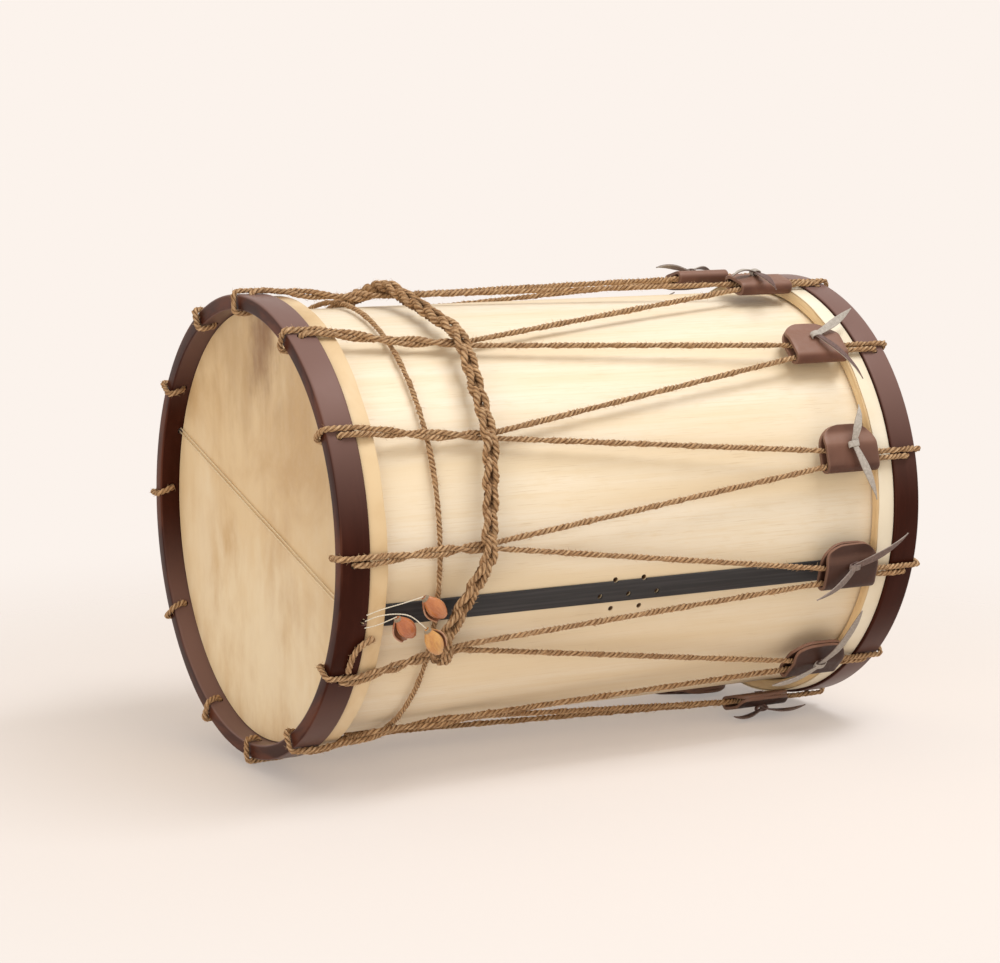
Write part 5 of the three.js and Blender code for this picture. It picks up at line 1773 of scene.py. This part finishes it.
seed_shell, seed_tree, seed_shader = new_material("seed shell")
seed_place = marked(seed_tree, "pod_place", "Vector")
seed_tint = marked(seed_tree, "tint")
seed_marks = use_group(seed_tree, hide_mottle, {"Place": seed_place, "Scale": SEED_MARK_SCALE})
seed_streaks = stretched_noise(seed_tree, seed_place, *SEED_STREAKS)
seed_colour = laid_over(seed_tree, mixed(seed_tree, seed_tint, *SEED_RED),
                        mixed(seed_tree, seed_tint, *SEED_ORANGE), seed_marks["Broad"], *SEED_CLOUD_MARKS)
seed_colour = laid_over(seed_tree, seed_colour, SEED_STREAK, seed_streaks, *SEED_STREAK_MARKS)
seed_colour = laid_over(seed_tree, seed_colour, SEED_LIP, marked(seed_tree, "lip"), *SEED_LIP_MARKS)
set_inputs(seed_tree, seed_shader, {
    "Base Color": mixed(seed_tree, marked(seed_tree, "inside"), seed_colour, SEED_INSIDE),
    "Roughness": roughened(seed_tree, seed_streaks, *SEED_ROUGHNESS),
    "Coat Weight": SEED_COAT,
})
raise_surface(seed_tree, seed_shader, seed_streaks, *SEED_RELIEF)


def pod_half(name, facing, turn, top, tint):
    """One half of a split pod: an outer and an inner skin joined along its lip."""
    rings = []
    inside = []
    lips = []
    places = []
    for row in range(POD_ROWS + 1):
        share = row / POD_ROWS
        bulge = POD_SWELL_START + POD_SWELL_SPAN * share ** POD_SWELL_POWER
        swell = POD_WIDTH / 2 * math.sin(math.pi * bulge)
        wall = min(POD_WALL, swell * POD_WALL_PART)
        opened = POD_OPEN * max(0.0, (share - POD_OPEN_START) / (1 - POD_OPEN_START)) ** POD_OPEN_POWER
        ring = []
        for skin, radius in ((0.0, swell), (1.0, swell - wall)):
            columns = range(POD_COLUMNS + 1) if skin == 0 else range(POD_COLUMNS, -1, -1)
            for column in columns:
                lean = opened + (math.pi - 2 * opened) * column / POD_COLUMNS
                out = facing * (radius * POD_FLATNESS * math.sin(lean) + POD_GAPE * opened)
                place = Vector((radius * math.cos(lean), -POD_LENGTH * share, out)) * MM
                ring.append(top + turn @ place)
                inside.append(skin)
                from_lip = min(column, POD_COLUMNS - column) / POD_LIP_COLUMNS
                lips.append(max(0.0, 1 - from_lip) if share > POD_OPEN_START else 0.0)
                places.append(place)
        rings.append(ring)
    half = swept(name, rings)
    mark(half, "inside", inside)
    mark(half, "lip", lips)
    mark(half, "tint", [tint] * len(inside))
    mark_places(half, "pod_place", places)
    return half


binding_thread = thread_finish("binding thread", BINDING_PALE, BINDING_DEEP)
for index, (top, tip) in enumerate(jingle_places):
    number = index + 1
    pod_up = (top - tip).normalized()
    pod_across = pod_up.cross(outward(top)).normalized()
    pod_turn = Matrix((pod_across, pod_up, pod_across.cross(pod_up))).transposed()
    pod_top = top - pod_up * (STRING_RADIUS * MM)
    for side_name, facing in POD_FACINGS.items():
        splayed = pod_turn @ Matrix.Rotation(math.radians(POD_SPLAYS[index][side_name]), 3, "Z")
        half = pod_half(f"seed_half_{side_name}_{number}", facing, splayed, pod_top, POD_TINTS[index])
        dress(half, seed_shell, f"jingle_{number}",
              [f"jingle_shell_{number}"] if side_name == "outer" else ())
    binding_line = []
    for step in range(int(BINDING_TURNS * BINDING_STEPS) + 1):
        turns = step / BINDING_STEPS
        wind = 2 * math.pi * turns
        reach = BINDING_RADIUS * (1 + BINDING_SPREAD * turns)
        drop = BINDING_TOP + BINDING_RISE * turns
        place = Vector((reach * math.cos(wind), -drop, reach * POD_FLATNESS * math.sin(wind)))
        binding_line.append(pod_top + pod_turn @ (place * MM))
    binding = rope_along(f"binding_thread_{number}", binding_line, STRING_PITCH, BINDING_THREAD,
                         strands=GUT_STRANDS)
    dress(binding, binding_thread, f"jingle_{number}")

# Studio: a pale floor that fades into a backdrop of the same colour, a large soft lamp above the near side
# and a weak one from the front head's side.
BACKDROP = (0.973, 0.896, 0.839, 1)
AMBIENT = (1.0, 0.885, 0.745, 1)
AMBIENT_STRENGTH = 0.69
FLOOR_COLOUR = (0.83, 0.775, 0.755, 1)
FLOOR_ROUGHNESS = 0.95
FLOOR_RADIUS = 2.2
FLOOR_STEPS = 96
FLOOR_FADE = (0.3, 0.95, 0.7, 0.0)

# Name, place and size in metres, power and colour of each lamp
LAMPS = [
    ("top lamp", (0.5, -0.75, 2.1), (1.8, 0.55), 29, (0.95, 0.975, 1.0)),
    ("front lamp", (-2.0, -1.5, 0.4), (1.6, 1.2), 19, (1.0, 0.94, 0.86)),
]

world = bpy.data.worlds.new("studio")
bpy.context.scene.world = world
world.use_nodes = True
sky_tree = world.node_tree
sky_tree.nodes.clear()
ray = sky_tree.nodes.new("ShaderNodeLightPath").outputs
seen = combined(sky_tree, "MAXIMUM", ray["Is Camera Ray"],
                combined(sky_tree, "MAXIMUM", ray["Is Glossy Ray"], ray["Is Transmission Ray"]))
ambient = add_node(sky_tree, "ShaderNodeBackground", {"Color": AMBIENT, "Strength": AMBIENT_STRENGTH})
backdrop = add_node(sky_tree, "ShaderNodeBackground", {"Color": BACKDROP, "Strength": 1.0})
sky = add_node(sky_tree, "ShaderNodeMixShader", {0: seen, 1: ambient.outputs[0], 2: backdrop.outputs[0]})
add_node(sky_tree, "ShaderNodeOutputWorld", {"Surface": sky.outputs[0]})

floor_paper, floor_tree, floor_shader = new_material("floor paper")
floor_far = add_node(floor_tree, "ShaderNodeVectorMath", {0: object_place(floor_tree)}, operation="LENGTH")
set_inputs(floor_tree, floor_shader, {
    "Base Color": FLOOR_COLOUR,
    "Roughness": FLOOR_ROUGHNESS,
    "Specular IOR Level": 0.0,
    "Alpha": between(floor_tree, floor_far.outputs["Value"], *FLOOR_FADE),
})
floor_points = [Vector((0, 0, 0))]
for step in range(FLOOR_STEPS):
    floor_turn = 2 * math.pi * step / FLOOR_STEPS
    floor_points.append(Vector((math.cos(floor_turn), math.sin(floor_turn), 0)) * FLOOR_RADIUS)
floor_faces = [[0, 1 + step, 1 + (step + 1) % FLOOR_STEPS] for step in range(FLOOR_STEPS)]
floor_mesh = bpy.data.meshes.new("floor")
floor_mesh.from_pydata(floor_points, [], floor_faces)
floor = bpy.data.objects.new("floor", floor_mesh)
bpy.context.collection.objects.link(floor)
floor.data.materials.append(floor_paper)

for name, place, (width, depth), power, colour in LAMPS:
    lamp = bpy.data.objects.new(name, bpy.data.lights.new(name, "AREA"))
    bpy.context.collection.objects.link(lamp)
    lamp.data.shape = "RECTANGLE"
    lamp.data.size = width
    lamp.data.size_y = depth
    lamp.data.energy = power
    lamp.data.color = colour
    look_at(lamp, Vector(place), Vector((0, 0, AXIS_HEIGHT)))
